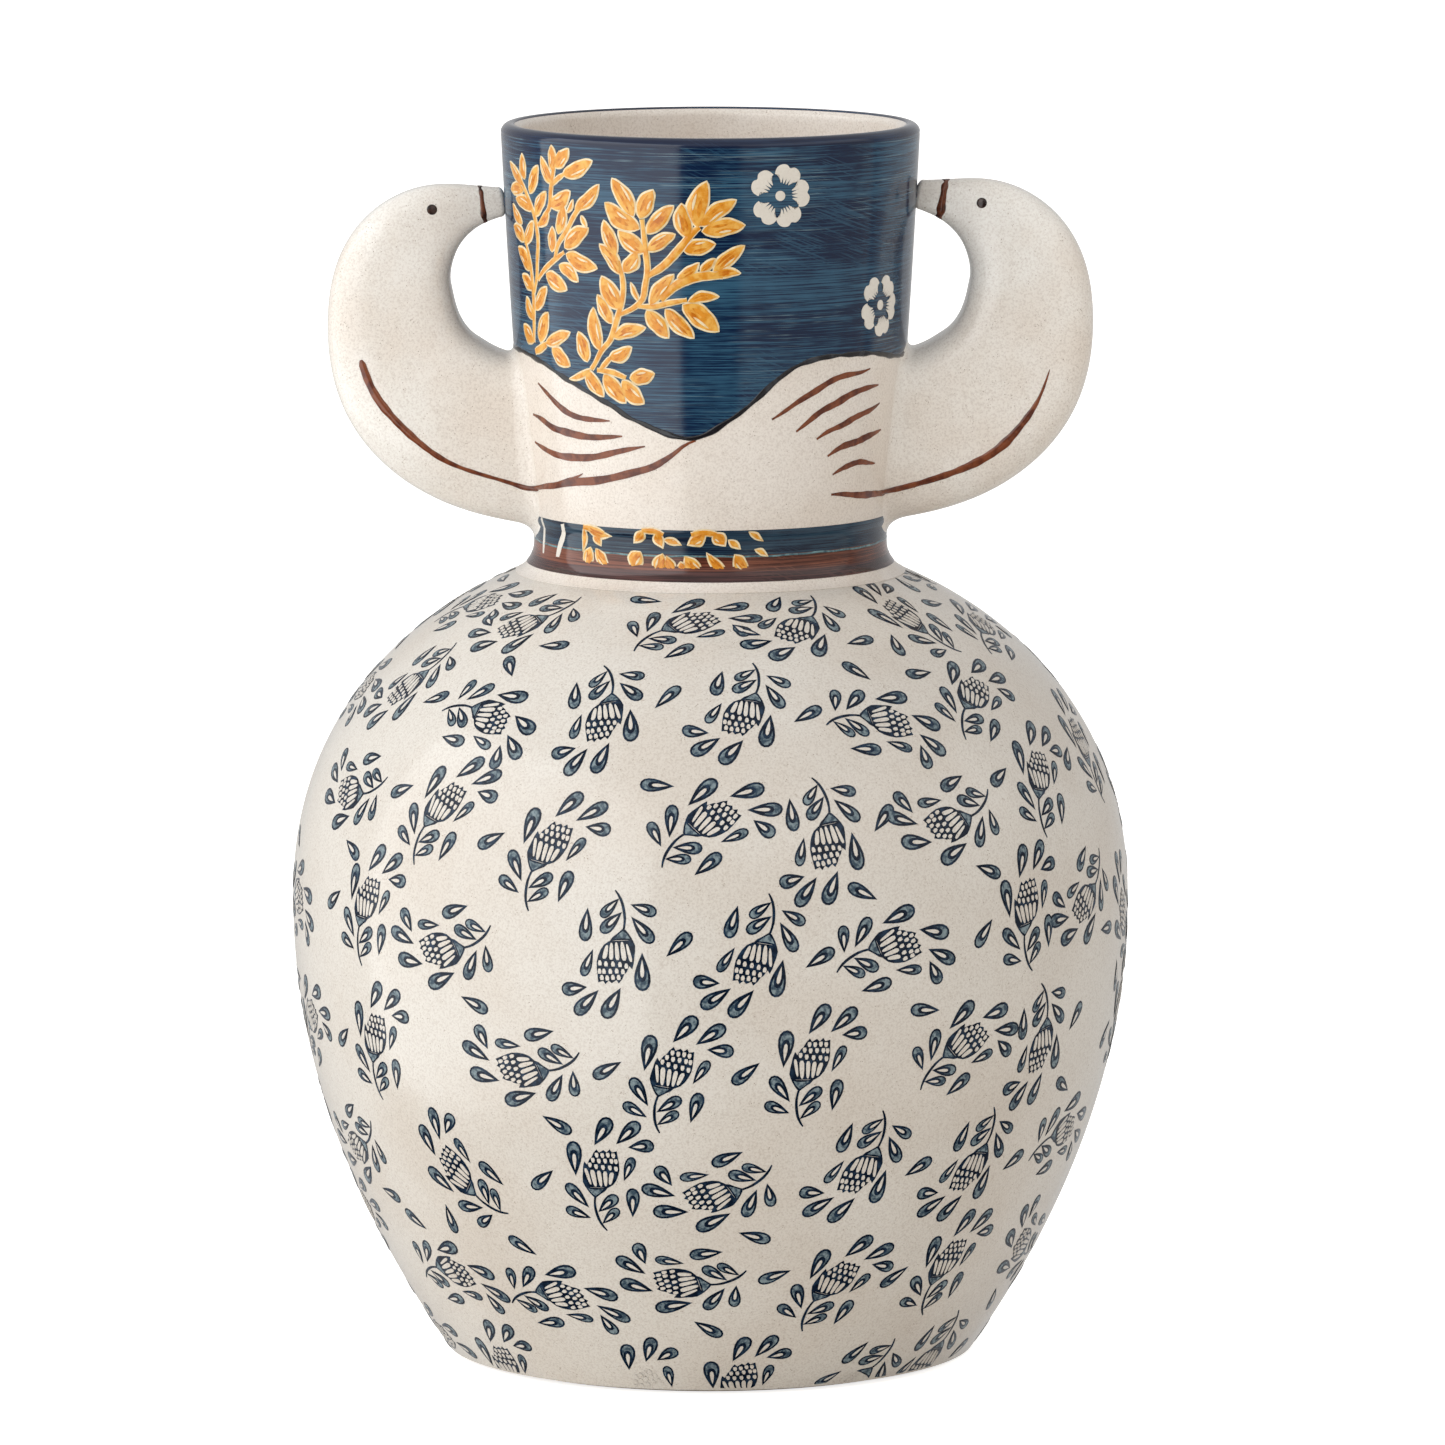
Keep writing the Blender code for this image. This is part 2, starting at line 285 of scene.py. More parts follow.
# Display colour, 0 to 255 a channel, to the linear value that a socket takes.
def shade(red, green, blue):
    share = np.array([red, green, blue]) / 255.0
    linear = np.where(share <= 0.04045, share / 12.92, ((share + 0.055) / 1.055) ** 2.4)
    return (*[float(v) for v in linear], 1.0)


# A Principled material over one of the groups. relief is its bump's depth in millimetres.
def makeGlaze(name, group, values, relief, specular=0.5, roughness=None):
    material = bpy.data.materials.new(name)
    material.use_nodes = True
    tree = material.node_tree
    box = addNode(tree, "ShaderNodeGroup", {"node_tree": group})
    for socket, value in zip(box.inputs, values):
        socket.default_value = shade(*value) if isinstance(value, tuple) else value
    given = {"Strength": 0.6, "Distance": relief * mm, "Height": box.outputs["Height"]}
    shader = tree.nodes["Principled BSDF"].inputs
    setInput(tree, shader["Base Color"], box.outputs["Colour"])
    setInput(tree, shader["Roughness"], roughness or box.outputs["Roughness"])
    setInput(tree, shader["Normal"], addNode(tree, "ShaderNodeBump", values=given).outputs["Normal"])
    shader["Specular IOR Level"].default_value = specular
    return material


# Colours are display colours, 0 to 255. Each row gives the group's inputs in order, then the relief.
speckledGlazes = {
    # body, clouds and specks, then how cloudy and how speckled
    "cream": (((232, 226, 217), (220, 209, 196), (142, 114, 88), 0.6, 0.85), 0.03),
    "neckCream": (((246, 238, 229), (232, 219, 205), (142, 114, 88), 0.7, 0.85), 0.03),
    "birdCream": (((255, 251, 244), (239, 227, 214), (142, 112, 86), 0.8, 0.88), 0.04),
    "flowerWhite": (((240, 234, 224), (224, 214, 200), (170, 150, 120), 0.5, 0.3), 0.02),
    "bareClay": (((205, 186, 160), (184, 160, 130), (110, 82, 58), 0.8, 1.0), 0.08, 0.3, 0.85),
}
brushedGlazes = {
    # thick, thin and bare colour, then how streaky and how much is missed
    "blue": (((7, 28, 60), (52, 92, 118), (128, 158, 170), 1.0, 0.62), 0.03),
    "bandBlue": (((14, 26, 48), (50, 76, 94), (118, 142, 150), 0.85, 0.4), 0.03),
    "lipBlue": (((16, 28, 56), (40, 62, 92), (90, 110, 130), 0.6, 0.1), 0.02),
    "brownBand": (((74, 38, 28), (136, 80, 60), (156, 104, 80), 0.9, 0.4), 0.03),
    "brownShade": (((52, 32, 32), (92, 58, 54), (128, 92, 82), 0.9, 0.2), 0.03),
}
pooledGlazes = {
    # dark and light colour, then the noise's scale and the level between the two
    "tealLine": (((58, 92, 104), (120, 156, 160), 320.0, 0.5), 0.01),
    "ink": (((10, 24, 42), (38, 58, 80), 500.0, 0.56), 0.0, 0.25),
    "wash": (((58, 76, 90), (138, 153, 158), 700.0, 0.51), 0.0, 0.25),
    "brown": (((90, 43, 28), (134, 74, 46), 300.0, 0.48), 0.01),
    "beakBrown": (((50, 30, 24), (118, 66, 44), 420.0, 0.5), 0.01),
    "waveLine": (((26, 24, 28), (60, 62, 68), 200.0, 0.58), 0.01),
    "eye": (((38, 26, 24), (76, 52, 44), 500.0, 0.55), 0.01),
    "leafOutline": (((234, 200, 140), (246, 228, 190), 500.0, 0.45), 0.01),
    "amber": (((226, 146, 42), (242, 184, 88), 420.0, 0.5), 0.02),
    "orange": (((200, 108, 18), (232, 152, 48), 500.0, 0.46), 0.02),
}
glaze = {}
for makeGroup, rows in ((makeSpeckleGroup, speckledGlazes), (makeBrushGroup, brushedGlazes),
                        (makeWashGroup, pooledGlazes)):
    group = makeGroup()
    for name, row in rows.items():
        glaze[name] = makeGlaze(name, group, *row)
print("stage 2: glazes made")


# Turned pieces

belly = {"radius": 125.0, "widestZ": 136.0, "heelRadius": 78.0, "heelZ": 1.5, "rise": 110.5, "power": 2.2,
         "seatRadius": 53.0, "wall": 6.5, "floorZ": 14.0, "footHeight": 5.0, "turnSteps": 320,
         # how far the heel is eased in and down, and where the recess's edge starts
         "easeR": 1.4, "easeZ": 0.5, "recessZ": 1.3,
         # clear space from the inner wall to the floor and bore, and the reach of their corner's curve
         "overFloor": 7, "pastBore": 3, "bendIn": 4, "bendOut": 3, "bendUp": 0.4}
foot = {"outer": 74.0, "inner": 64.0, "height": 4.7, "ease": 1.0, "turnSteps": 256}
neck = {"radius": 52.5, "flare": 9.7, "flareZ": 250.0, "power": 0.6, "wall": 5.2, "height": 368.6,
        "turnSteps": 320}
gap = 0.3
sunk = -0.08  # how far the underside of a skin of glaze lies inside the wall


# Radius of the belly at height z: a parabola from the widest ring down to the heel, r = R - (R - heel) d^2
# with d the share of the way down, and a superellipse above it, r = R sqrt(1 - u^2.2).
def bellyRadius(z):
    drop = (belly["widestZ"] - z) / belly["widestZ"]
    low = belly["radius"] - (belly["radius"] - belly["heelRadius"]) * drop**2
    up = np.clip((z - belly["widestZ"]) / belly["rise"], 0, 1)
    return np.where(z < belly["widestZ"], low, belly["radius"] * np.sqrt(1 - up ** belly["power"]))


def bellyHeight(radius):
    share = 1 - (radius / belly["radius"]) ** 2
    return belly["widestZ"] + belly["rise"] * share ** (1 / belly["power"])


seatZ = float(bellyHeight(belly["seatRadius"]))
tableZ = np.linspace(belly["heelZ"], seatZ, 6000)
tableR = bellyRadius(tableZ)
tableS = lengthAlong(np.stack([tableR, tableZ], -1))
slopeR = np.gradient(tableR, tableS)
slopeZ = np.gradient(tableZ, tableS)


# Radius and height of the belly's skin at a length s up the wall from the heel, and the normal's parts there.
def bellyWall(s):
    return [np.interp(s, tableS, values) for values in (tableR, tableZ, slopeZ, -slopeR)]


# A point of the belly's skin from its angle (radians) and its length s up the wall: (r sin a, -r cos a, z),
# and the normal there, which is square to the wall's direction.
def onBelly(angle, s, lift):
    r, z, outR, outZ = bellyWall(s)
    normal = roundAxis(outR, angle, outZ)
    return roundAxis(r, angle, z) + normal * np.asarray(lift)[..., None], normal


# Radius of the neck at height z: straight, then a flare r = r0 + flare share^0.6 up to the lip.
def neckRadius(z):
    share = np.clip((z - neck["flareZ"]) / (neck["height"] - neck["flareZ"]), 0, 1)
    return neck["radius"] + neck["flare"] * share ** neck["power"]


lipHalf = neck["wall"] / 2
lipZ = neck["height"] - lipHalf
lipMiddle = neckRadius(lipZ) - lipHalf
lipLength = math.pi * lipHalf


# A point of the neck's skin from its angle and q. q is the height up to lipZ, then the length over the
# half-round lip, then the length down the bore.
def onNeck(angle, q, lift):
    angle, q, lift = np.broadcast_arrays(np.asarray(angle, float), np.asarray(q, float),
                                         np.asarray(lift, float))
    z = np.clip(q, None, lipZ)
    over = np.clip((q - lipZ) / lipHalf, 0, math.pi)
    down = np.clip(q - lipZ - lipLength, 0, None)
    step = 0.2
    tilt = (neckRadius(z) - neckRadius(z - step)) / step
    slant = np.arctan(np.clip(tilt, 0, 0.3)) * (q < lipZ)
    onWall = q <= lipZ
    r = np.where(onWall, neckRadius(z), lipMiddle + lipHalf * np.cos(over))
    height = np.where(onWall, z, lipZ + lipHalf * np.sin(over) - down)
    r = np.where(down > 0, neckRadius(np.clip(lipZ - down, 230, None)) - neck["wall"], r)
    normal = roundAxis(np.where(onWall, np.cos(slant), np.cos(over)), angle,
                       np.where(onWall, -np.sin(slant), np.sin(over)))
    return roundAxis(r, angle, height) + normal * lift[..., None], normal


# Resamples an outline of (radius, height) points so that no stretch is longer than longest.
def evenOutline(outline, longest):
    outline = np.asarray(outline, float)
    parts = []
    for a, b in zip(outline[:-1], outline[1:]):
        count = max(1, math.ceil(np.linalg.norm(b - a) / longest))
        parts.append(a + (b - a) * (np.arange(count) / count)[:, None])
    return np.vstack(parts + [outline[-1:]])


# Turns an outline about Z. It runs down the outer side. closed joins its two ends, and otherwise both
# ends lie on the axis and each becomes one point.
def turnedPiece(name, outline, turnSteps, material, closed=True, sharp=40.0, replaces=None):
    outline = np.asarray(outline, float)[::-1]
    angle = np.linspace(0, fullTurn, turnSteps, endpoint=False)
    body = outline if closed else outline[1:-1]
    points = roundAxis(body[:, :1], angle, body[:, 1:]).reshape(-1, 3)
    if closed:
        quads = gridCorners(len(body), turnSteps, wrapRows=True, wrapColumns=True)
        corners = quads.ravel()
        sizes = np.full(len(quads), 4)
    else:
        corners, sizes = cappedCorners(len(body), turnSteps)
        points = np.vstack((points, [[0, 0, outline[0, 1]], [0, 0, outline[-1, 1]]]))
    makePiece(name, points, corners, sizes, material, sharp=sharp, replaces=replaces)


def makeBelly():
    r, z, outR, outZ = bellyWall(np.linspace(0, tableS[-1], 130))
    innerR = r - outR * belly["wall"]
    innerZ = z - outZ * belly["wall"]
    floorZ = belly["floorZ"]
    bore = neck["radius"] - neck["wall"]
    keep = (innerZ > floorZ + belly["overFloor"]) & (innerR > bore + belly["pastBore"])
    inner = np.stack([innerR[keep], innerZ[keep]], -1)[::2]
    cornerR = float(bellyRadius(np.array(floorZ))) - 2 * belly["wall"]
    bendStart = np.array([cornerR - belly["bendIn"], floorZ])
    bendCorner = np.array([cornerR + belly["bendOut"], floorZ + belly["bendUp"]])
    curve = bendLine(bendStart, bendCorner, inner[0], np.linspace(0, 1, 9)[:, None])
    recess = foot["outer"] + gap
    turn = np.linspace(0, math.pi / 2, 6)[1:]
    heel = np.stack([belly["heelRadius"] - belly["easeR"] * (1 - np.cos(turn)),
                     belly["heelZ"] - belly["easeZ"] * np.sin(turn)], -1)
    outline = np.vstack((
        evenOutline([(0, floorZ), bendStart], 8.0)[:-1], curve[:-1], inner,
        [(bore, seatZ - belly["wall"]), (bore, seatZ)],
        np.stack([r, z], -1)[::-1], heel, [(recess, belly["recessZ"]), (recess, belly["footHeight"])],
        evenOutline([(recess - 0.5, belly["footHeight"]), (0, belly["footHeight"])], 8.0)))
    turnedPiece("vaseBelly", outline, belly["turnSteps"], glaze["cream"], closed=False,
                replaces="belly")


def makeFoot():
    ease = foot["ease"]
    turn = np.linspace(0, math.pi / 2, 5)
    down = ease - ease * np.sin(turn)
    outline = np.vstack(([(foot["inner"], foot["height"]), (foot["outer"], foot["height"])],
                         np.stack([foot["outer"] - ease + ease * np.cos(turn), down], -1),
                         np.stack([foot["inner"] + down, ease - ease * np.cos(turn)], -1)))
    turnedPiece("footRing", outline, foot["turnSteps"], glaze["bareClay"], replaces="foot_ring")


# A band of glaze on the neck between two edges, each a height q for every angle: a closed skin from inside
# the wall to lift outside it, and thinner at its edges.
def neckBand(name, lowEdge, highEdge, rows, lift, material, sharp=40.0):
    steps = neck["turnSteps"]
    angle = np.linspace(-math.pi, math.pi, steps, endpoint=False)
    low = np.broadcast_to(lowEdge, (steps,))
    high = np.broadcast_to(highEdge, (steps,))
    q = low + (high - low) * np.linspace(0, 1, rows)[:, None]
    lifts = np.full((rows, 1), lift)
    lifts[0] = lifts[-1] = lift * 0.35
    outer, _ = onNeck(angle[None, :], q, lifts)
    inner, _ = onNeck(angle[None, :], q[::-1], sunk)
    quads = gridCorners(2 * rows, steps, wrapRows=True, wrapColumns=True)
    points = np.concatenate((outer, inner)).reshape(-1, 3)
    makePiece(name, points, quads.ravel(), np.full(len(quads), 4), material, sharp=sharp)


# The wave between the blue and the cream, on the front half; the back half mirrors it.
wave = {
    "thickness": 1.5, "lift": 0.30,
    "points": [(-90, 302), (-70, 302.3), (-60, 300.8), (-55, 299.5), (-50, 297.5), (-45, 295.8), (-40, 293.8),
               (-35, 291.5), (-30, 289.5), (-25, 286.5), (-20, 284.5), (-15, 282.5), (-10, 281), (-6, 280.5),
               (0, 282.4), (5, 285.5), (10, 289), (15, 293.5), (20, 297.8), (25, 301), (30, 302.8),
               (43, 303.8), (55, 303.3), (65, 301.8), (72.5, 301), (90, 301)],
}


def waveHeight(degrees):
    folded = np.where(degrees > 90, 180 - degrees, np.where(degrees < -90, -180 - degrees, degrees))
    points = np.array(wave["points"], float)
    return splineAt(points[:, 0], points[:, 1:], folded)[:, 0]


bands = {"blueLow": 245.2, "blueHigh": 253.0, "blueLift": 0.16, "tealHalf": 0.38,
         # how far over the lip the dark band goes, and how it laps the blue
         "lipShare": 0.66, "lipLap": 0.4,
         # the brown's two tones: the share of the cove where each starts and ends, and its lift
         "brownLift": 0.13, "brownShare": 0.56, "shadeFrom": 0.2, "shadeLift": 0.18, "brownLow": 244.0}


def makeNeck():
    q = np.concatenate((np.linspace(seatZ + gap, 250, 6), np.linspace(250, lipZ, 70)[1:]))
    outer = np.stack([neckRadius(q), q], -1)
    over = np.linspace(0, math.pi, 15)[1:-1]
    lip = np.stack([lipMiddle + lipHalf * np.cos(over), lipZ + lipHalf * np.sin(over)], -1)
    outline = np.vstack((outer, lip, outer[::-1] - [neck["wall"], 0]))[::-1]
    turnedPiece("vaseNeck", outline, neck["turnSteps"], glaze["neckCream"], replaces="neck")
    angle = np.linspace(-math.pi, math.pi, neck["turnSteps"], endpoint=False)
    edge = waveHeight(np.degrees(angle))
    lift = bands["blueLift"]
    lipEnd = lipZ + bands["lipShare"] * lipLength
    neckBand("blueField", edge, lipZ + bands["lipLap"], 64, lift, glaze["blue"])
    neckBand("lipBand", lipZ + 0.1, lipEnd, 18, lift + 0.05, glaze["lipBlue"])
    neckBand("blueBand", bands["blueLow"], bands["blueHigh"], 8, lift, glaze["bandBlue"])
    # two waves round the neck make each brushed line's edge uneven
    low = bands["blueLow"] + 0.10 * np.sin(angle * 9 + 2) + 0.07 * np.sin(angle * 31) - bands["tealHalf"]
    neckBand("tealLine", low, low + 2 * bands["tealHalf"], 4, lift + 0.04, glaze["tealLine"], sharp=0)
    steep = np.gradient(edge, angle * 56)
    wobble = 0.16 * np.sin(angle * 23 + 1) + 0.12 * np.sin(angle * 51)
    half = (wave["thickness"] / 2 + wobble) * np.sqrt(1 + steep**2)
    neckBand("waveLine", edge - half, edge + half, 5, wave["lift"], glaze["waveLine"], sharp=0)


# The slip in the corner of neck and shoulder is a cove, a quadratic curve from the neck to the shoulder.
cove = {"top": 242.6, "cornerR": 53.3, "cornerUp": 0.6, "far": 58.2, "farUp": 0.25, "underUp": 0.1}


def makeShoulder():
    side = neck["radius"] + gap * 0.3
    cover = [np.array([side, cove["top"]]), np.array([cove["cornerR"], seatZ + cove["cornerUp"]]),
             np.array([cove["far"], float(bellyHeight(cove["far"])) + cove["farUp"]])]
    under = np.linspace(cove["far"], 53.4, 6)
    outline = np.vstack((bendLine(*cover, np.linspace(0, 1, 14)[:, None]),
                         np.stack([under, bellyHeight(under) + cove["underUp"]], -1), [(side, seatZ + 0.4)]))
    turnedPiece("shoulderCove", outline, neck["turnSteps"], glaze["neckCream"], sharp=60,
                replaces="shoulder_slip")
    # the brown runs from the neck down over the upper part of the cove, with a darker tone below
    wall = np.array([[neck["radius"], bands["blueLow"] + 0.4], [neck["radius"], bands["brownLow"]]])
    for name, start, lift in (("brownBand", 0, bands["brownLift"]),
                              ("brownShade", bands["shadeFrom"], bands["shadeLift"])):
        upper = bendLine(*cover, np.linspace(start, bands["brownShare"], 10)[:, None])
        run = np.gradient(upper, axis=0)
        out = unit(np.stack([-run[:, 1], run[:, 0]], -1))
        skin = upper + out * lift
        back = upper - out * 0.1
        if start == 0:
            skin = np.vstack((wall + [lift, 0], skin))
            back = np.vstack((wall - [0.1, 0], back))
        outline = np.vstack((skin, back[::-1]))
        turnedPiece(name, outline, neck["turnSteps"], glaze[name], sharp=60)


makeBelly()
makeFoot()
makeNeck()
makeShoulder()
print("stage 3: turned pieces made")


# Flat pieces of colour, laid on a curved wall. Each is a wafer in its own flat millimetres: a top at level 1,
# the same rim at level 0, and a floor. away is the direction from its middle, for a rounded edge.

# A fan of triangles from an outline's centre, for shapes without hollows.
def fanWafer(outline):
    outline = np.asarray(outline, float)
    x, y = outline.T
    if np.sum(x * np.roll(y, -1) - np.roll(x, -1) * y) < 0:
        outline = outline[::-1]
    n = len(outline)
    centre = outline.mean(0)
    i = np.arange(n)
    j = (i + 1) % n
    top = np.stack([np.full(n, 2 * n), i, j], -1)
    side = np.stack([j, i, i + n, j + n], -1)
    away = unit(outline - centre)
    return {"flat": np.vstack((outline, outline, [centre])), "level": np.repeat([1.0, 0.0, 1.0], [n, n, 1]),
            "away": np.vstack((away, away, [[0, 0]])),
            "corners": np.concatenate((top.ravel(), side.ravel(), (i + n)[::-1])),
            "sizes": np.repeat([3, 4, n], [n, n, 1])}


# grid is (rows, columns, 2), rows upwards and columns to the right; the floor is a second grid.
def gridWafer(grid):
    rows, columns = grid.shape[:2]
    n = rows * columns
    index = np.arange(n).reshape(rows, columns)
    top = gridCorners(rows, columns)
    rim = np.concatenate((index[0], index[1:, -1], index[-1, -2::-1], index[-2:0:-1, 0]))
    following = np.roll(rim, -1)
    side = np.stack([following, rim, rim + n, following + n], -1)
    onRim = np.zeros((n, 1), bool)
    onRim[rim] = True
    away = unit(grid - grid.mean(1, keepdims=True)).reshape(-1, 2) * onRim
    quads = np.concatenate((top, side, top[:, ::-1] + n))
    return {"flat": np.tile(grid.reshape(-1, 2), (2, 1)), "level": np.repeat([1.0, 0.0], n),
            "away": np.tile(away, (2, 1)), "corners": quads.ravel(), "sizes": np.full(len(quads), 4)}


# One or more wafers as one set; group numbers each wafer.
def joinWafers(wafers):
    counts = [len(w["level"]) for w in wafers]
    shifts = np.concatenate(([0], np.cumsum(counts)[:-1]))
    joined = {key: np.concatenate([w[key] for w in wafers]) for key in ("flat", "level", "away", "sizes")}
    joined["corners"] = np.concatenate([w["corners"] + s for w, s in zip(wafers, shifts)])
    joined["group"] = np.repeat(np.arange(len(wafers)), counts)
    joined["faceGroup"] = np.repeat(np.arange(len(wafers)), [len(w["sizes"]) for w in wafers])
    return joined


# A stroke along a path of flat points: half width = w/2 sin(pi t)^taper, but no less than startShare or
# endShare of it near the ends. Two waves along it roughen its edges by wobble, and one bends its line.
def strokeGrid(path, width, count, taper, startShare, endShare, wobble=0.0, seed=1, columns=3):
    line = smoothLine(path, count)
    along = unit(np.gradient(line, axis=0))
    across = np.stack([along[:, 1], -along[:, 0]], -1)
    t = np.linspace(0, 1, count)
    start = startShare * (1 - np.clip(t / 0.5, 0, 1))
    end = endShare * (1 - np.clip((1 - t) / 0.5, 0, 1))
    half = width / 2 * np.clip(np.maximum(np.sin(math.pi * t) ** taper, np.maximum(start, end)), 0.06, 1)
    phase = np.random.default_rng(seed).uniform(0, 6.28, 4)
    half = half * (1 + wobble * (np.sin(t * 17 + phase[0]) + np.sin(t * 41 + phase[1])) / 2)
    line = line + across * (wobble * width * 0.25 * np.sin(t * 13 + phase[2]))[:, None]
    place = np.linspace(-1, 1, columns)
    return line[:, None, :] + across[:, None, :] * half[:, None, None] * place[None, :, None]


# The belly's print: one stamp, put on again and again at every angle

stamp = {
    "lean": 21.0,
    "stem": [(0, 0), (-0.48, -2.5), (-0.42, -5.0), (0.14, -8.05), (1.0, -10.0), (1.83, -11.25)],
    "stemWidth": 0.85,
    "calyx": [(-2.5, 3.9), (-0.9, 3.35), (0.4, 3.3), (2.6, 3.2), (4.5, 3.4), (3.5, 2.2), (2.2, 1.4),
              (1.0, 0.5), (0.15, -0.2), (-0.6, 0.5), (-1.3, 1.5), (-2.0, 2.7)],
    "calyxWash": [(-1.6, 3.0), (0.4, 2.7), (3.0, 2.8), (1.8, 1.6), (0.3, 0.6), (-0.8, 1.6)],
    "headLeft": [(-2.39, 3.5), (-2.96, 5.28), (-2.54, 7.78), (-2.11, 10.14), (-1.49, 11.9)],
    "headRight": [(4.6, 3.3), (6.6, 4.58), (7.9, 6.67), (8.8, 8.89), (9.0, 11.0)],
    "headTop": [(-1.49, 11.9), (-0.75, 10.9), (0.2, 12.6), (1.0, 13.3), (1.7, 14.6), (2.82, 15.83),
                (3.5, 14.8), (4.93, 15.61), (5.77, 14.8), (6.85, 15.83), (7.4, 14.8), (8.93, 15.2),
                (9.0, 11.0)],
    "petalsBelow": [(-2.0, -0.85, 9.8, 4.4, -0.9), (-0.3, 1.4, 9.3, 3.7, -0.3), (1.8, 3.25, 9.05, 3.7, 0.0),
                    (3.7, 5.2, 8.8, 3.8, 0.5), (5.7, 7.3, 8.4, 4.4, 1.2)],
    "cells": [(0.14, 10.83), (1.97, 10.28), (4.03, 10.0), (6.11, 9.86), (7.9, 9.5), (1.3, 12.4), (3.1, 12.1),
              (5.0, 12.1), (6.9, 12.0), (8.2, 11.9), (2.7, 14.0), (4.4, 13.9), (6.1, 14.0), (7.7, 13.8)],
    "cellSize": (1.42, 1.62), "fatter": 1.15,
    "petals": [((-9.9, -3.8), (-2.4, -6.9), 3.2), ((-8.3, 4.6), (-2.4, -3.4), 3.6),
               ((-3.9, 18.5), (-4.8, 7.2), 4.2), ((8.3, 25.8), (2.4, 17.1), 4.1),
               ((16.9, 24.3), (9.0, 17.4), 3.8), ((20.3, 16.9), (12.4, 16.4), 3.7),
               ((13.5, 13.2), (9.6, 5.4), 2.8), ((12.0, 3.1), (10.3, -6.7), 3.6),
               ((-19.6, 2.6), (-11.7, 8.9), 3.6), ((6.9, 0.7), (0.14, -4.9), 3.3),
               ((6.6, -3.75), (0.7, -8.9), 2.8)],
}

# (angle, height of the flower's base, heading clockwise from up) of every stamp on the front
stampPlaces = [
    (-11, 226, 65), (8.1, 210.5, 211), (-17.3, 210, 184), (17.1, 178, 190), (-3.7, 172.5, 62),
    (-24.9, 160.5, 31), (-11.5, 145.5, 196), (8, 144.5, 209), (21.4, 138.5, 87), (-7.2, 96, 29),
    (12.2, 97.5, 21), (-17.4, 64, 18), (4.8, 67.5, 257), (0.2, 37, 274), (24.8, 79, 210), (18.2, 30.5, 38),
    (5, -4, 10), (-31.9, 31.5, 92), (-12, -7, 350), (-41, 228, 231), (-43.3, 203.5, 107), (-60.8, 211, 214),
    (-43.9, 170, 37), (-59.5, 176, 266), (-55.5, 138, 24), (-34.7, 137, 261), (-54.8, 97.5, 22),
    (-22.4, 102.5, 268), (-38.2, 61, 325), (-63.1, 70.5, 253), (-55.4, 34, 91), (-50, -4, 15), (-77, 226, 65),
    (-83, 140, 90), (-79, 100.5, 60), (-80, 6, 80), (-84, 41.5, 60), (25.2, 229, 231), (52.1, 222, 352),
    (25.2, 203.5, 107), (46.5, 202.5, 60), (54.4, 175.5, 33), (39.8, 174, 261), (47.2, 137.5, 10),
    (65.8, 148, 241), (33.5, 104.5, 65), (53.1, 112, 188), (44.4, 76, 209), (61, 73, 87), (41.8, 31.5, 20),
    (54.4, 11, 205), (35.8, 6, 230), (75, 179.5, 20), (71, 219.5, 75), (82, 128, 320), (72, 33.5, 300),
    (82, 97.5, 10)]

stampBack = {"seed": 7, "tries": 8000, "reach": (8.2, 7.0, 6.2), "apart": 27.5, "lowest": 2.2,
             "highest": 235.4, "stampSpan": 52}


# A drop shape from its sharp tip to its blunt end: along = cos a, across = sin a sin(a/2)^1.3. low and high
# are shares of its length measured from the blunt end, and share narrows it.
def dropOutline(blunt, tip, width, count, low=0.0, high=1.0, share=1.0):
    blunt = np.asarray(blunt, float)
    run = np.asarray(tip, float) - blunt
    a = np.linspace(0, fullTurn, count, endpoint=False)
    across = np.sin(a) * np.abs(np.sin(a / 2)) ** 1.3
    across = across / np.abs(across).max()
    side = np.array([run[1], -run[0]]) / np.linalg.norm(run)
    place = high - (high - low) * (1 - np.cos(a)) / 2
    return blunt + run * place[:, None] + side * (across * width / 2 * share)[:, None]


# A cell between u0 and u1 and between v0 and v1: x = cos a^0.7, y = sin a^0.7, narrower below and leaning.
def roundedCell(u0, u1, v0, v1, slant, count):
    a = np.linspace(0, fullTurn, count, endpoint=False)
    x = np.sign(np.cos(a)) * np.abs(np.cos(a)) ** 0.7
    y = np.sign(np.sin(a)) * np.abs(np.sin(a)) ** 0.7
    narrow = 0.62 + 0.38 * (y + 1) / 2
    u = (u0 + u1) / 2 + x * (u1 - u0) / 2 * narrow + slant * (y - 1) / 2
    return np.stack([u, (v0 + v1) / 2 + y * (v1 - v0) / 2], -1)


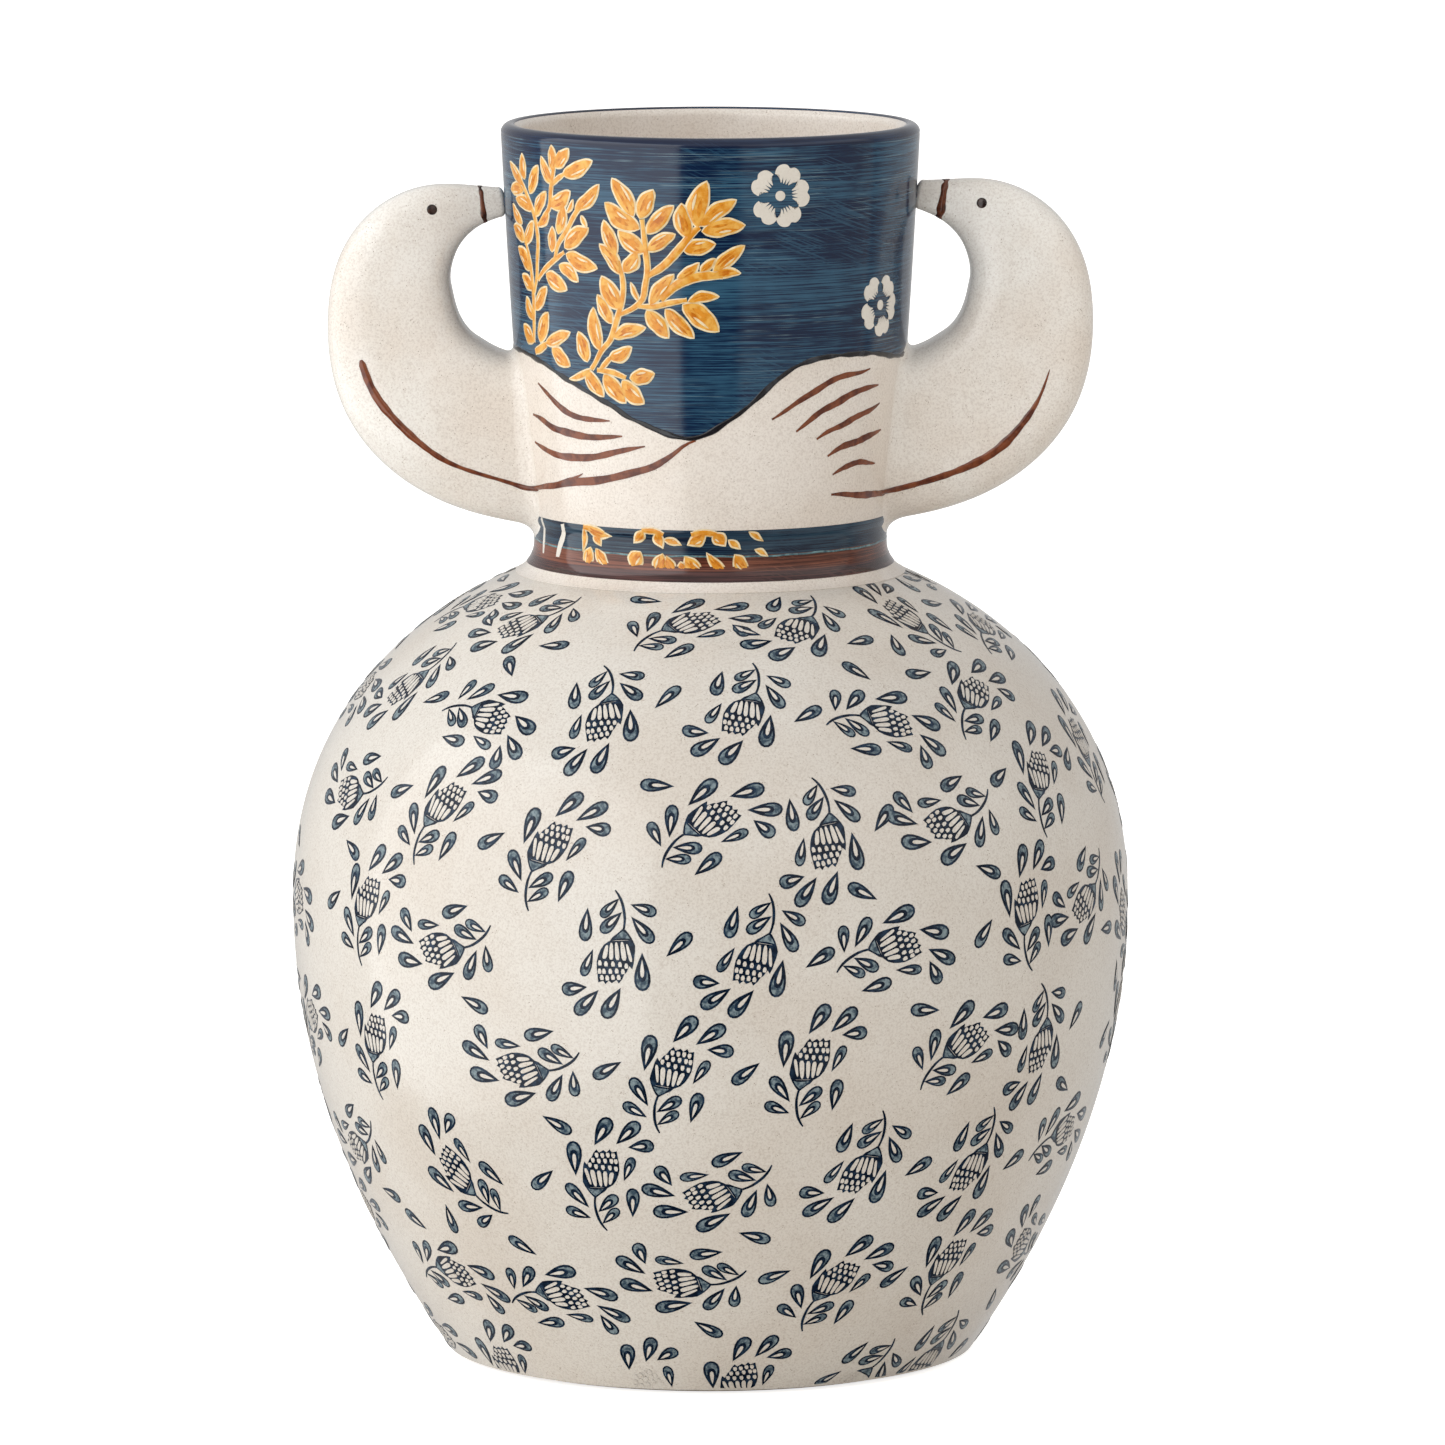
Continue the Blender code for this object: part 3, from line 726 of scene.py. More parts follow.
def stampLayers():
    # the flower head's ink is a grid between its two sides, with a toothed top
    top = np.array(stamp["headTop"])
    rows = 6
    left = smoothLine(stamp["headLeft"], rows)
    right = smoothLine(stamp["headRight"], rows)
    head = left[:, None, :] + (right - left)[:, None, :] * np.linspace(0, 1, len(top))[None, :, None]
    head = head + (top - head[-1])[None] * np.linspace(0, 1, rows)[:, None, None] ** 2
    stem = strokeGrid(stamp["stem"][::-1], stamp["stemWidth"], 9, 0.3, 0.5, 0.8, columns=2)
    layers = {"ink": [gridWafer(head), fanWafer(stamp["calyx"]), gridWafer(stem)],
              "wash": [fanWafer(stamp["calyxWash"])], "dark": [], "pale": []}
    # a petal is a drop in each layer: points, the part of its length, and the part of its width
    nested = {"ink": (18,), "wash": (16, 0.06, 0.84, 0.72), "dark": (14, 0.24, 0.93, 0.54),
              "pale": (10, 0.35, 0.82, 0.25)}
    for blunt, tip, width in stamp["petals"]:
        for key, drop in nested.items():
            layers[key].append(fanWafer(dropOutline(blunt, tip, width * stamp["fatter"], *drop)))
    for u0, u1, high, low, slant in stamp["petalsBelow"]:
        layers["pale"].append(fanWafer(roundedCell(u0, u1, low, high, slant, 10)))
    w, h = stamp["cellSize"]
    for u, v in stamp["cells"]:
        layers["pale"].append(fanWafer(roundedCell(u - w / 2, u + w / 2, v - h / 2, v + h / 2, 0, 6)))
    return {key: joinWafers(wafers) for key, wafers in layers.items()}


# Angle and length up the wall of flat stamp points, for every place (angle, length, heading).
def stampOnWall(flat, places):
    turn = np.radians(places[:, 2] - stamp["lean"])[:, None]
    u = flat[None, :, 0] * np.cos(turn) + flat[None, :, 1] * np.sin(turn)
    s = places[:, 1:2] - flat[None, :, 0] * np.sin(turn) + flat[None, :, 1] * np.cos(turn)
    return np.radians(places[:, :1]) + u / np.interp(s, tableS, tableR), s


# The marks of a stamp that must not meet another's: the middles of its petals and of its head and stem.
def stampMarks(places):
    spots = [((blunt[0] + tip[0]) / 2, (blunt[1] + tip[1]) / 2) for blunt, tip, _ in stamp["petals"]]
    angle, s = stampOnWall(np.array(spots + [(3.0, 9.0), (0.3, -7.0)]), places)
    return onBelly(angle, s, np.zeros_like(s))[0]


# Fills the back by trying places at random and keeping those whose marks stay clear of all the others.
def fillBack(front):
    dice = np.random.default_rng(stampBack["seed"])
    tries = stampBack["tries"]
    angle = dice.uniform(84, 276, tries)
    s = dice.uniform(-8, tableS[-1] + 4, tries)
    heading = dice.uniform(0, 360, tries)
    places = np.stack([(angle + 180) % 360 - 180, s, heading], -1)
    # fewer tries where the belly is narrow, so that they are even over its skin
    places = places[dice.uniform(0, belly["radius"], tries) < np.interp(s, tableS, tableR)]
    marks = stampMarks(places)
    kept = np.zeros((len(front) + 400, marks.shape[1], 3))
    count = len(front)
    kept[:count] = stampMarks(front)
    head = marks.shape[1] - 2
    chosen = []
    # a closer limit each round packs the last gaps
    for limit in stampBack["reach"]:
        for place, mark in zip(places, marks):
            near = np.abs(kept[:count, head] - mark[head]).max(1) < stampBack["stampSpan"]
            if near.any():
                apart = kept[:count][near][:, :, None, :] - mark[None, None, :, :]
                squared = np.einsum("abck,abck->abc", apart, apart)
                if squared.min() < limit**2 or squared[:, head, head].min() < stampBack["apart"] ** 2:
                    continue
            kept[count] = mark
            count += 1
            chosen.append(place)
    return np.array(chosen)


def makePrint():
    front = np.array(stampPlaces, float)
    below = front[:, 1] < belly["heelZ"]
    front[:, 1] = np.where(below, front[:, 1] - belly["heelZ"], np.interp(front[:, 1], tableZ, tableS))
    back = fillBack(front)
    places = np.vstack((front, back))
    print("  stamps:", len(front), "front,", len(back), "back")
    lowS, highS = np.interp([stampBack["lowest"], stampBack["highest"]], tableZ, tableS)
    layers = stampLayers()
    looks = {"ink": ("printInk", "ink", 0.06), "wash": ("printWash", "wash", 0.11),
             "dark": ("printDark", "ink", 0.15), "pale": ("printPale", "cream", 0.19)}
    for key, (name, material, lift) in looks.items():
        layer = layers[key]
        angle, s = stampOnWall(layer["flat"], places)
        # a wafer mostly over the heel or the shoulder is left out, and one partly over it is cut short there
        over = ((s < lowS) | (s > highS)).astype(float)
        groupStart = np.concatenate(([0], np.flatnonzero(np.diff(layer["group"])) + 1))
        keepGroup = np.add.reduceat(over, groupStart, axis=1) / np.bincount(layer["group"]) < 0.5
        lifts = np.broadcast_to(np.where(layer["level"] > 0, lift, -0.05), s.shape)
        points, normals = onBelly(angle, np.clip(s, lowS, highS), lifts)
        keepVertex = keepGroup[:, layer["group"]]
        keepFace = keepGroup[:, layer["faceGroup"]]
        cornerFace = np.repeat(np.arange(len(layer["sizes"])), layer["sizes"])
        shift = (np.arange(len(places)) * len(layer["level"]))[:, None]
        corners = (layer["corners"][None, :] + shift)[keepFace[:, cornerFace]]
        renumber = np.cumsum(keepVertex.ravel()) - 1
        sizes = np.broadcast_to(layer["sizes"], keepFace.shape)[keepFace]
        makePiece(name, points[keepVertex], renumber[corners], sizes, glaze[material],
                  normals=normals[keepVertex])


makePrint()
print("stage 4: print made")


# Painting on the neck. Paths and leaves are (angle, height); the flat millimetres are arc and height.

# Lays wafers given in (arc mm, height) on the neck, front and back. rounding tips the edge normals outwards,
# so that the colour looks a little raised.
def layOnNeck(name, wafers, lift, material, rounding):
    sheet = joinWafers(wafers)
    arc, height = sheet["flat"].T
    angle = arc / neckRadius(height)
    points, normals = onNeck(angle, height, np.where(sheet["level"] > 0, lift, -0.06))
    side = np.stack([np.cos(angle), np.sin(angle), np.zeros_like(angle)], -1)
    tips = sheet["away"][:, :1] * side + sheet["away"][:, 1:] * np.array([0, 0, 1.0])
    normals = normals + rounding * tips
    points, corners, sizes = withBack(points, sheet["corners"], sheet["sizes"])
    makePiece(name, points, corners, sizes, glaze[material], np.vstack((normals, normals * [1, -1, 1])))


# (angle, height) points to arc and height, in millimetres.
def toFlat(points):
    points = np.asarray(points, float)
    return np.stack([np.radians(points[:, 0]) * neckRadius(points[:, 1]), points[:, 1]], -1)


strokes = {
    "broader": 1.22,
    "left": [
        ([(-61.3, 293.8), (-56, 291), (-51, 288), (-46, 286), (-40, 285), (-31, 284.9)], 1.5),
        ([(-66.5, 284), (-60, 283), (-55, 281.3), (-50, 280.5), (-45, 280), (-37.5, 279.7), (-27, 280.5)],
         1.8),
        ([(-66.8, 275.8), (-60, 274.3), (-52.5, 273), (-45, 273.1), (-37.5, 273.8), (-30, 275.5),
          (-19.8, 277.9)], 1.8),
        ([(-75, 261.8), (-70, 261.8), (-62.5, 263), (-55, 264), (-50, 265.1), (-40, 266.3), (-30, 268.3),
          (-22.5, 270.3), (-17.5, 271.8), (-13.5, 274), (-10, 276.5), (-7.5, 278.5), (-4.3, 279.9)], 2.0),
        ([(-50, 266.3), (-45, 267.3), (-42.3, 268.5)], 0.6)],
    "right": [
        ([(18.4, 285.9), (22.5, 288.3), (27, 291), (32.5, 293.8), (37.5, 296.3), (42.5, 297.5), (50, 298.1),
          (54, 298.9)], 1.5),
        ([(26.3, 281.9), (30, 284.5), (35, 287.8), (40, 289.5), (45, 291.5), (50, 292.8), (59, 293.5)], 1.7),
        ([(33.4, 279.3), (37.5, 281.3), (42.5, 282.8), (47.5, 284.5), (55, 286.3), (60.5, 288)], 1.5),
        ([(37.8, 274), (41, 275.5), (45, 276.8), (50, 277.5), (55, 278.5), (62.5, 279.9)], 1.7),
        ([(40.3, 268.3), (44, 269.8), (49, 271), (53, 271.1), (56.5, 270.6), (60.5, 270)], 1.4),
        ([(40.3, 262.4), (42.5, 262.3), (50, 261.5), (60, 260.8), (70, 260.3), (76, 260.4)], 1.7)],
}


def makeStrokes():
    wafers = []
    for i, (path, width) in enumerate(strokes["left"] + strokes["right"]):
        grid = strokeGrid(toFlat(path)[::-1], width * strokes["broader"], 34, 0.5, 0.2, 0.3, 0.12, 40 + i)
        wafers.append(gridWafer(grid))
    layOnNeck("wingStrokes", wafers, 0.12, "brown", 0.12)


flowers = {
    "outer": 9.4, "inner": 3.7, "dot": 1.5, "spike": 2.0, "notch": 0.8, "halfTurn": 34.5,
    "places": [((19.4, 351.9), (-54, 21, 85, 156, 223)), ((57, 317.5), (-42, 39, 98, 168, 243))],
}


# A petal is a grid in turn and radius. Its outer edge is two lobes, r = outer (1 - 0.27 place^4) less a notch
# in the middle, and its inner edge is cut into teeth.
def petalGrid(centre, heading):
    place = np.linspace(-1, 1, 33)
    teeth = flowers["spike"] * (1 - np.abs((place * 2 + 0.5) % 1 * 2 - 1)) ** 2.2
    inner = flowers["inner"] + teeth + 0.5 * np.abs(place) ** 3
    notch = flowers["notch"] * np.exp(-((place / 0.15) ** 2))
    outer = flowers["outer"] * (1 - 0.27 * np.abs(place) ** 4) - notch
    share = np.linspace(0, 1, 7)[:, None]
    radius = inner + (outer - inner) * share
    spread = np.radians(flowers["halfTurn"]) * (0.70 + 0.32 * np.sin(share * math.pi * 0.62))
    turn = np.radians(heading) + spread * place
    return np.stack([centre[0] + radius * np.sin(turn), centre[1] + radius * np.cos(turn)], -1)


def makeFlowers():
    petals = []
    dots = []
    a = np.linspace(0, fullTurn, 20, endpoint=False)
    circle = np.stack([np.cos(a), np.sin(a)], -1)
    for place, headings in flowers["places"]:
        centre = toFlat([place])[0]
        petals += [gridWafer(petalGrid(centre, heading)) for heading in headings]
        dots.append(fanWafer(centre + circle * flowers["dot"]))
    layOnNeck("flowerPetals", petals, 0.34, "flowerWhite", 0.2)
    layOnNeck("flowerDots", dots, 0.38, "flowerWhite", 0.3)


branches = {
    "leaves": [
        (-36.8, 300, -45, 296.6, 2), (-38, 302.3, -40.7, 310.5, 4.5), (-38.5, 299.5, -32.8, 292.3, 4.2),
        (-33.3, 306, -35, 318, 4.5), (-29.1, 314.1, -33.3, 321.9, 3.8), (-26.3, 318.5, -31.7, 327.5, 5.5),
        (-25.7, 328.8, -32, 337, 4), (-27, 334.5, -30.5, 344, 4.2), (-24.7, 329.5, -20.6, 335.3, 4.5),
        (-18.5, 335.5, -25.9, 341.3, 5), (-17.5, 336, -9.9, 340.7, 4), (-20, 342.3, -29.8, 349.3, 5.5),
        (-17.5, 341, -10.2, 349, 4.5), (-21.5, 346, -27.5, 356.5, 5), (-19.5, 345.5, -15.8, 353.5, 5),
        (0.5, 328.5, 8.2, 329.4, 2.9), (-6, 340, -7.8, 349.6, 5), (-3.5, 343, -1, 356.2, 6),
        (-2.5, 343.5, 6.9, 350.8, 4.5), (-2, 341.8, 9.3, 343.5, 5), (-7, 336, 1.2, 338, 4.5),
        (1, 330, 9.3, 337.3, 4), (-2.5, 330, 1.2, 333.5, 2.5), (-9, 328, -3.3, 332.3, 3),
        (-17, 320, -10.3, 328.8, 4), (-6, 321, 2.2, 322.5, 3), (-7.5, 320, 2.2, 312.5, 6),
        (-12.5, 318.5, -4.8, 310.5, 4.5), (-18, 318, -12, 310.5, 4.8), (-28.5, 310, -18.8, 313, 4),
        (-30, 303.5, -23.2, 307, 4), (-23.5, 298, -16.5, 299.5, 4.5), (-26, 297, -19.8, 290.8, 5),
        (-32, 298.5, -25.5, 290.8, 5), (-20.5, 321, -22.6, 326, 1.5), (-63.5, 352.5, -72.5, 358.5, 3.5),
        (-63.5, 351, -72.8, 350.5, 4), (-62.5, 354.5, -63.3, 361.5, 4), (-59.5, 350.5, -55, 358.7, 4.3),
        (-59, 345.5, -68.8, 348, 4), (-57, 344, -51.8, 351.2, 4), (-65.5, 341, -71.8, 346, 3.5),
        (-64.5, 336, -72, 339.5, 4.5), (-64, 335, -58.8, 342, 4.2), (-62, 327.5, -69, 333.5, 4.5),
        (-60.5, 322, -67, 325.5, 3.8), (-61.5, 313, -65, 319, 4), (-59.5, 316, -53.5, 323, 4),
        (-62.5, 306, -68.3, 310.5, 4.5), (-48.5, 354, -53, 361.5, 3.5), (-48.5, 358, -48.5, 365, 3.5),
        (-47, 359, -42, 364.5, 4), (-44, 357, -34, 361.5, 4.5), (-50, 347.5, -42, 352, 5),
        (-51, 345.5, -55, 341, 3), (-47, 339.5, -44.3, 347.8, 4), (-40, 347, -32, 354.5, 4),
        (-50, 334, -49.5, 341, 3.5), (-44.5, 335.5, -36, 341.5, 5), (-44, 333.5, -33.5, 330, 4.8),
        (-47, 330, -40.3, 325.8, 4), (-53, 327, -44.8, 323, 4.8), (-58, 306.5, -53.5, 315.3, 5),
        (-55, 306.3, -44.3, 310.3, 3.8), (-52, 305, -45, 300.5, 4.5), (-43, 346, -41, 349.5, 1.5),
        (-38, 345, -36.5, 342, 1.5)],
    "stems": [
        ([(-36.5, 300), (-35, 302), (-32.5, 306), (-30, 308.5), (-28.5, 311.5), (-27, 316), (-26, 319),
          (-25, 325), (-25.3, 328.5), (-26.3, 332.5)], 1.4),
        ([(-27, 316.5), (-23.5, 318), (-20.5, 320), (-19, 322), (-18.5, 325), (-17.8, 328.5), (-18, 335),
          (-18.5, 340.5), (-19, 345)], 1.4),
        ([(-17.5, 328.5), (-15, 330), (-12, 332.5), (-8.5, 336.5), (-7, 338.5), (-5.5, 340.5), (-3, 343)],
         2.0),
        ([(-20.5, 319.5), (-17, 319.3), (-12.5, 320.3), (-6.5, 321.5)], 1.3),
        ([(-14, 321.5), (-10.5, 325), (-7.5, 327), (-2.5, 328.5), (3.5, 328.8)], 2.4),
        ([(-34.5, 299.8), (-30, 299.5), (-25, 298)], 1.3), ([(-33.3, 300), (-31.5, 302), (-29.5, 304)], 1.2),
        ([(-62, 306), (-61.3, 311), (-60.8, 316), (-60.5, 319.5), (-60.8, 324.5), (-61.8, 331), (-63.3, 335)],
         1.3),
        ([(-60, 321), (-58, 326), (-57.3, 331), (-56.5, 336), (-57, 341), (-58, 344.5), (-60.5, 348.5),
          (-63.5, 352.5), (-67.5, 355.5)], 1.2),
        ([(-57.5, 325), (-53.5, 328.5), (-49, 331.5), (-45, 334)], 1.2),
        ([(-49, 331.5), (-47, 336.5), (-44, 340), (-41, 344.5), (-39, 347), (-35, 351)], 1.2),
        ([(-56, 341), (-53, 344), (-50.5, 346.5), (-49.5, 351), (-49, 354), (-47.8, 358.5), (-47, 361),
          (-45, 363.5)], 1.2),
        ([(-49, 353.5), (-46.5, 355.5), (-44, 357)], 1.2), ([(-61.3, 303.3), (-58, 304.5), (-55, 306)], 2.0)],
    # what the bands below show of a third branch: leaves and short stems
    "bandLeaves": [
        (-42.5, 252.6, -33.5, 250.4, 2.4), (-44, 252.4, -45.4, 245.2, 1.6), (-40, 251, -37.8, 247.4, 2.4),
        (-42, 246.2, -43.2, 240.4, 3.4), (-39.5, 246, -34.5, 241.2, 3.0), (-23, 246, -26, 241.6, 4.2),
        (-21.5, 252.6, -25, 249, 2.6), (-17, 252.6, -15.4, 247.8, 2.6), (-15, 250, -9.6, 248.6, 1.8),
        (-15.5, 245.6, -17.5, 239.6, 3.6), (-14, 245, -10.8, 239.4, 2.8), (-1.6, 252, -7, 248.8, 3.2),
        (1, 252, 4.6, 248.6, 3.4), (-9.5, 243.4, -8.7, 240.4, 2.2), (-8, 245, -2.8, 240.2, 3.6),
        (-1, 246.2, 7.6, 238.2, 2.6), (6, 250, 9.4, 247.6, 1.8), (8, 245.6, 12.2, 241, 3.4),
        (12.5, 252.4, 16.8, 249.8, 1.5), (14.6, 247, 18.4, 245.2, 1.4)],
    "bandStems": [
        ([(-44.2, 252.4), (-40, 252), (-36, 251)], 1.6), ([(-22, 252.6), (-18, 252.6), (-15, 251.6)], 1.4),
        ([(-6, 251.8), (-2, 252.4), (2, 252)], 1.5)],
    "lift": 0.28, "bodyLift": 0.37, "patchLift": 0.42, "ragged": 0.06,
    # leaves wider than these get darker hearts and a painted highlight
    "heartFrom": 2.2, "paintedHighlightFrom": 3.4, "seed": 11,
}

# white runs across the bands, left where the colour was scratched away: path and width
whiteRuns = [([(-69.0, 252.8), (-68.9, 250), (-69.4, 246), (-70, 240.6)], 1.3),
             ([(-54.6, 252.4), (-55.2, 250), (-57.2, 246), (-59.6, 240.6)], 2.1)]


# A pointed leaf: half width = w/2 sin(pi t^0.9)^power from base (t = 0) to tip (t = 1), with a slight bow
# and ragged edges. shift moves it sideways, and low and high keep only a part of its length.
def leafGrid(base, tip, width, low=0.0, high=1.0, bow=0.06, count=16, inset=0.0, ragged=0.0, phase=0.0,
             shift=0.0, power=0.62):
    run = tip - base
    length = np.linalg.norm(run)
    side = np.array([run[1], -run[0]]) / length
    t = np.linspace(low, high, count)
    half = width / 2 * np.sin(math.pi * np.clip(t, 0.001, 0.999) ** 0.9) ** power
    ends = np.sin(math.pi * np.linspace(0, 1, count)) ** 0.5 if low > 0 else 1.0
    half = np.clip((half - inset) * ends, 0.05, None)
    line = base + run * t[:, None] + side * (bow * length * np.sin(math.pi * t) + shift)[:, None]
    place = np.linspace(-1, 1, 5)
    # each side swells and shrinks by its own waves along the leaf
    ripple = np.sin(t[:, None] * 8 + phase + place * 1.7) + 0.5 * np.sin(t[:, None] * 15 + 2 * phase - place)
    half = half[:, None] * (1 + ragged * ripple)
    return line[:, None, :] + side * (half * place)[..., None]


def makeBranches():
    sets = {"outlines": [], "bodies": [], "hearts": [], "paintedHighlights": []}

    def add(key, grid):
        sets[key].append(gridWafer(grid))

    dice = np.random.default_rng(branches["seed"])
    leaves = np.array(branches["leaves"] + branches["bandLeaves"], float)
    for i, (base, tip) in enumerate(zip(toFlat(leaves[:, :2]), toFlat(leaves[:, 2:4]))):
        onBand = i >= len(branches["leaves"])
        width = leaves[i, 4] * (1.2 if onBand else 1.02)
        bow = dice.uniform(-0.09, 0.09)
        phase = dice.uniform(0, 6.28)
        way = unit(tip - base)
        look = {"bow": bow, "ragged": branches["ragged"], "phase": phase, "power": 0.95 if onBand else 0.62}
        add("outlines", leafGrid(base - way * 0.4, tip + way * 0.5, width + 0.5, **look))
        add("bodies", leafGrid(base - way * 0.1, tip, width, inset=0.3, **look))
        # darker streaks run up the leaf, beside its middle
        if width > branches["heartFrom"]:
            for side in (-1, 1):
                low, high = dice.uniform(0.08, 0.3), dice.uniform(0.6, 0.88)
                thick = width * dice.uniform(0.16, 0.3)
                shift = side * width * dice.uniform(0.08, 0.2)
                add("hearts", leafGrid(base, tip, thick, low, high, bow, 9, 0.0, 0.2, phase + side, shift))
        # and a painted highlight lies along one side: a pale stroke standing in for light caught on the thick
        # glaze
        if width > branches["paintedHighlightFrom"]:
            side = dice.choice((-1.0, 1.0))
            low, high = dice.uniform(0.2, 0.4), dice.uniform(0.6, 0.8)
            shift = side * width * dice.uniform(0.18, 0.26)
            add("paintedHighlights", leafGrid(base, tip, width * 0.13, low, high, bow, 8, 0.0, 0.15, phase, shift))
    for i, (path, width) in enumerate(branches["stems"] + branches["bandStems"]):
        for key, wider in (("outlines", 0.75), ("bodies", 0.0)):
            add(key, strokeGrid(toFlat(path)[::-1], width + wider, 22, 0.2, 0.75, 0.8, 0.05, 80 + i))
    layOnNeck("leafOutlines", sets["outlines"], branches["lift"], "leafOutline", 0.35)
    layOnNeck("leafBodies", sets["bodies"], branches["bodyLift"], "amber", 0.25)
    layOnNeck("leafHearts", sets["hearts"], branches["patchLift"], "orange", 0.1)
    # painted highlights: pale strokes over the leaves in the outline colour, standing in for light on the
    # glaze
    layOnNeck("leafPaintedHighlights", sets["paintedHighlights"], branches["patchLift"] + 0.04, "leafOutline", 0.1)
    runs = [gridWafer(strokeGrid(toFlat(path)[::-1], width, 18, 0.25, 0.7, 0.8, 0.05, 120 + i))
            for i, (path, width) in enumerate(whiteRuns)]
    layOnNeck("whiteRuns", runs, 0.30, "flowerWhite", 0.1)


makeStrokes()
makeFlowers()
makeBranches()
print("stage 5: neck painted")


# Birds

bird = {
    # (distance from the axis, height, half width) down the middle line, from the beak to the tail
    "stations": [(63.2, 345.0, 4.5), (68.4, 344.3, 5.7), (81.0, 340.0, 11.0), (92.5, 327.0, 16.8),
                 (94.4, 310.0, 19.6), (88.0, 292.0, 22.8), (71.0, 278.5, 24.2), (48.0, 273.5, 25.0)],
    "flatness": 0.66, "squareness": 3.3, "rows": 96, "columns": 56, "noseLength": 2.4,
    # the right bird stands higher, by a little less at its tail
    "lift": {"left": 0.0, "right": 2.2}, "tailLift": 0.7,
    "eye": {"left": (82.5, 343.4), "right": (80.5, 345.3)}, "eyeRadius": 1.55,
    "line": {"left": [(103.6, 299.2), (100.4, 290.8), (93.6, 281.6), (86.2, 274.7), (79.1, 269.7),
                      (68.4, 265.5), (57.5, 262.2), (54.6, 261.4), (50.2, 261.8)],
             "right": [(100.6, 296.5), (97.2, 287.5), (91.8, 279.5), (86.9, 274.2), (79.5, 269.2),
                       (68.2, 264.6), (58.6, 261.8), (54.6, 260.9), (49.2, 260.3)]},
    # width of the long stroke at even steps from its top to the neck
    "lineWidths": {"left": [2.0, 2.5, 2.4, 2.1, 1.7, 1.3, 1.1, 1.2, 1.9],
                   "right": [0.3, 1.0, 1.9, 2.6, 2.5, 2.1, 1.8, 1.7, 1.4]},
    # top and bottom of the line across the beak
    "beakLine": {"left": [(68.4, 349.8), (66.9, 339.4)], "right": [(70.0, 352.0), (68.0, 341.2)]},
    "beakLineWidth": {"left": 1.3, "right": 2.0},
}
sides = {"left": -1.0, "right": 1.0}
birdKnots = lengthAlong(np.array(bird["stations"])[:, :2])


# Middle line, its direction and half width at lengths t down the bird, for one side.
def birdLine(side, t):
    stations = np.array(bird["stations"], float)
    share = np.clip(1 - np.arange(len(stations)) / 8, bird["tailLift"], None)
    stations[:, 1] += bird["lift"][side] * share
    got = splineAt(birdKnots, stations, t)
    ahead = splineAt(birdKnots, stations, t + 0.05)
    return got, unit((ahead - got)[:, :2])


# Skin of the bird: at length t the section is a superellipse |x/w|^3.3 + |y/d|^3.3 = 1, w across the middle
# line in the plane of the bird and d = 0.66 w front to back. turn 0 is the outer side and pi/2 the front.
def onBird(side, t, turn):
    shape = np.broadcast(t, turn).shape
    t = np.broadcast_to(t, shape).astype(float)
    turn = np.broadcast_to(turn, shape).astype(float)
    got, run = birdLine(side, np.clip(t.ravel(), 0, None))
    got = got.reshape(shape + (3,))
    run = run.reshape(shape + (2,))
    # the nose rounds off before the first station
    nose = np.clip(-t / bird["noseLength"], 0, 1)
    half = got[..., 2] * np.clip(1 - nose**3, 0, 1) ** (1 / 2.4)
    power = 2 / bird["squareness"]
    across = np.sign(np.cos(turn)) * np.abs(np.cos(turn)) ** power * half
    depth = np.sign(np.sin(turn)) * np.abs(np.sin(turn)) ** power * half * bird["flatness"]
    x = got[..., 0] + run[..., 0] * np.clip(t, None, 0) - run[..., 1] * across
    z = got[..., 1] + run[..., 1] * np.clip(t, None, 0) + run[..., 0] * across
    return np.stack([x, -depth, z], -1)


# The normal from two small steps over the skin.
def birdNormal(side, t, turn):
    step = 0.02
    along = onBird(side, t + 0.2, turn) - onBird(side, t - 0.2, turn)
    around = onBird(side, t, turn + step) - onBird(side, t, turn - step)
    normal = unit(np.cross(along, around))
    centre, _ = birdLine(side, np.clip(np.asarray(t, float).ravel(), 0, None))
    middle = np.stack([centre[:, 0], np.zeros(len(centre)), centre[:, 1]], -1).reshape(np.shape(t) + (3,))
    outwards = np.sum((onBird(side, t, turn) - middle) * normal, -1, keepdims=True)
    return normal * np.where(outwards < 0, -1.0, 1.0)


# Places on the skin (t, turn) of points seen from the front as (distance from the axis, height).
def birdPlaces(side, seen):
    seen = np.asarray(seen, float)
    t = np.linspace(0, birdKnots[-1], 1200)
    got, run = birdLine(side, t)
    gapTo = seen[:, None, :] - got[None, :, :2]
    nearest = np.argmin(np.sum(gapTo**2, -1), 1)
    offset = gapTo[np.arange(len(seen)), nearest]
    way = run[nearest]
    sideways = -way[:, 1] * offset[:, 0] + way[:, 0] * offset[:, 1]
    share = np.clip(sideways / got[nearest, 2], -1, 1)
    turn = np.arccos(np.sign(share) * np.abs(share) ** (bird["squareness"] / 2))
    return t[nearest], turn


# A piece of one bird, worked out for the right side; the left side's is its mirror image.
def birdPiece(name, side, points, corners, sizes, look, slot="cream_glaze", sharp=0, replaces=None):
    if side == "left":
        corners = turnFaces(corners, sizes)
    makePiece(name + side.title(), points * [sides[side], 1, 1], corners, sizes, glaze[look],
              sharp=sharp, replaces=replaces and f"{replaces}_{side}")


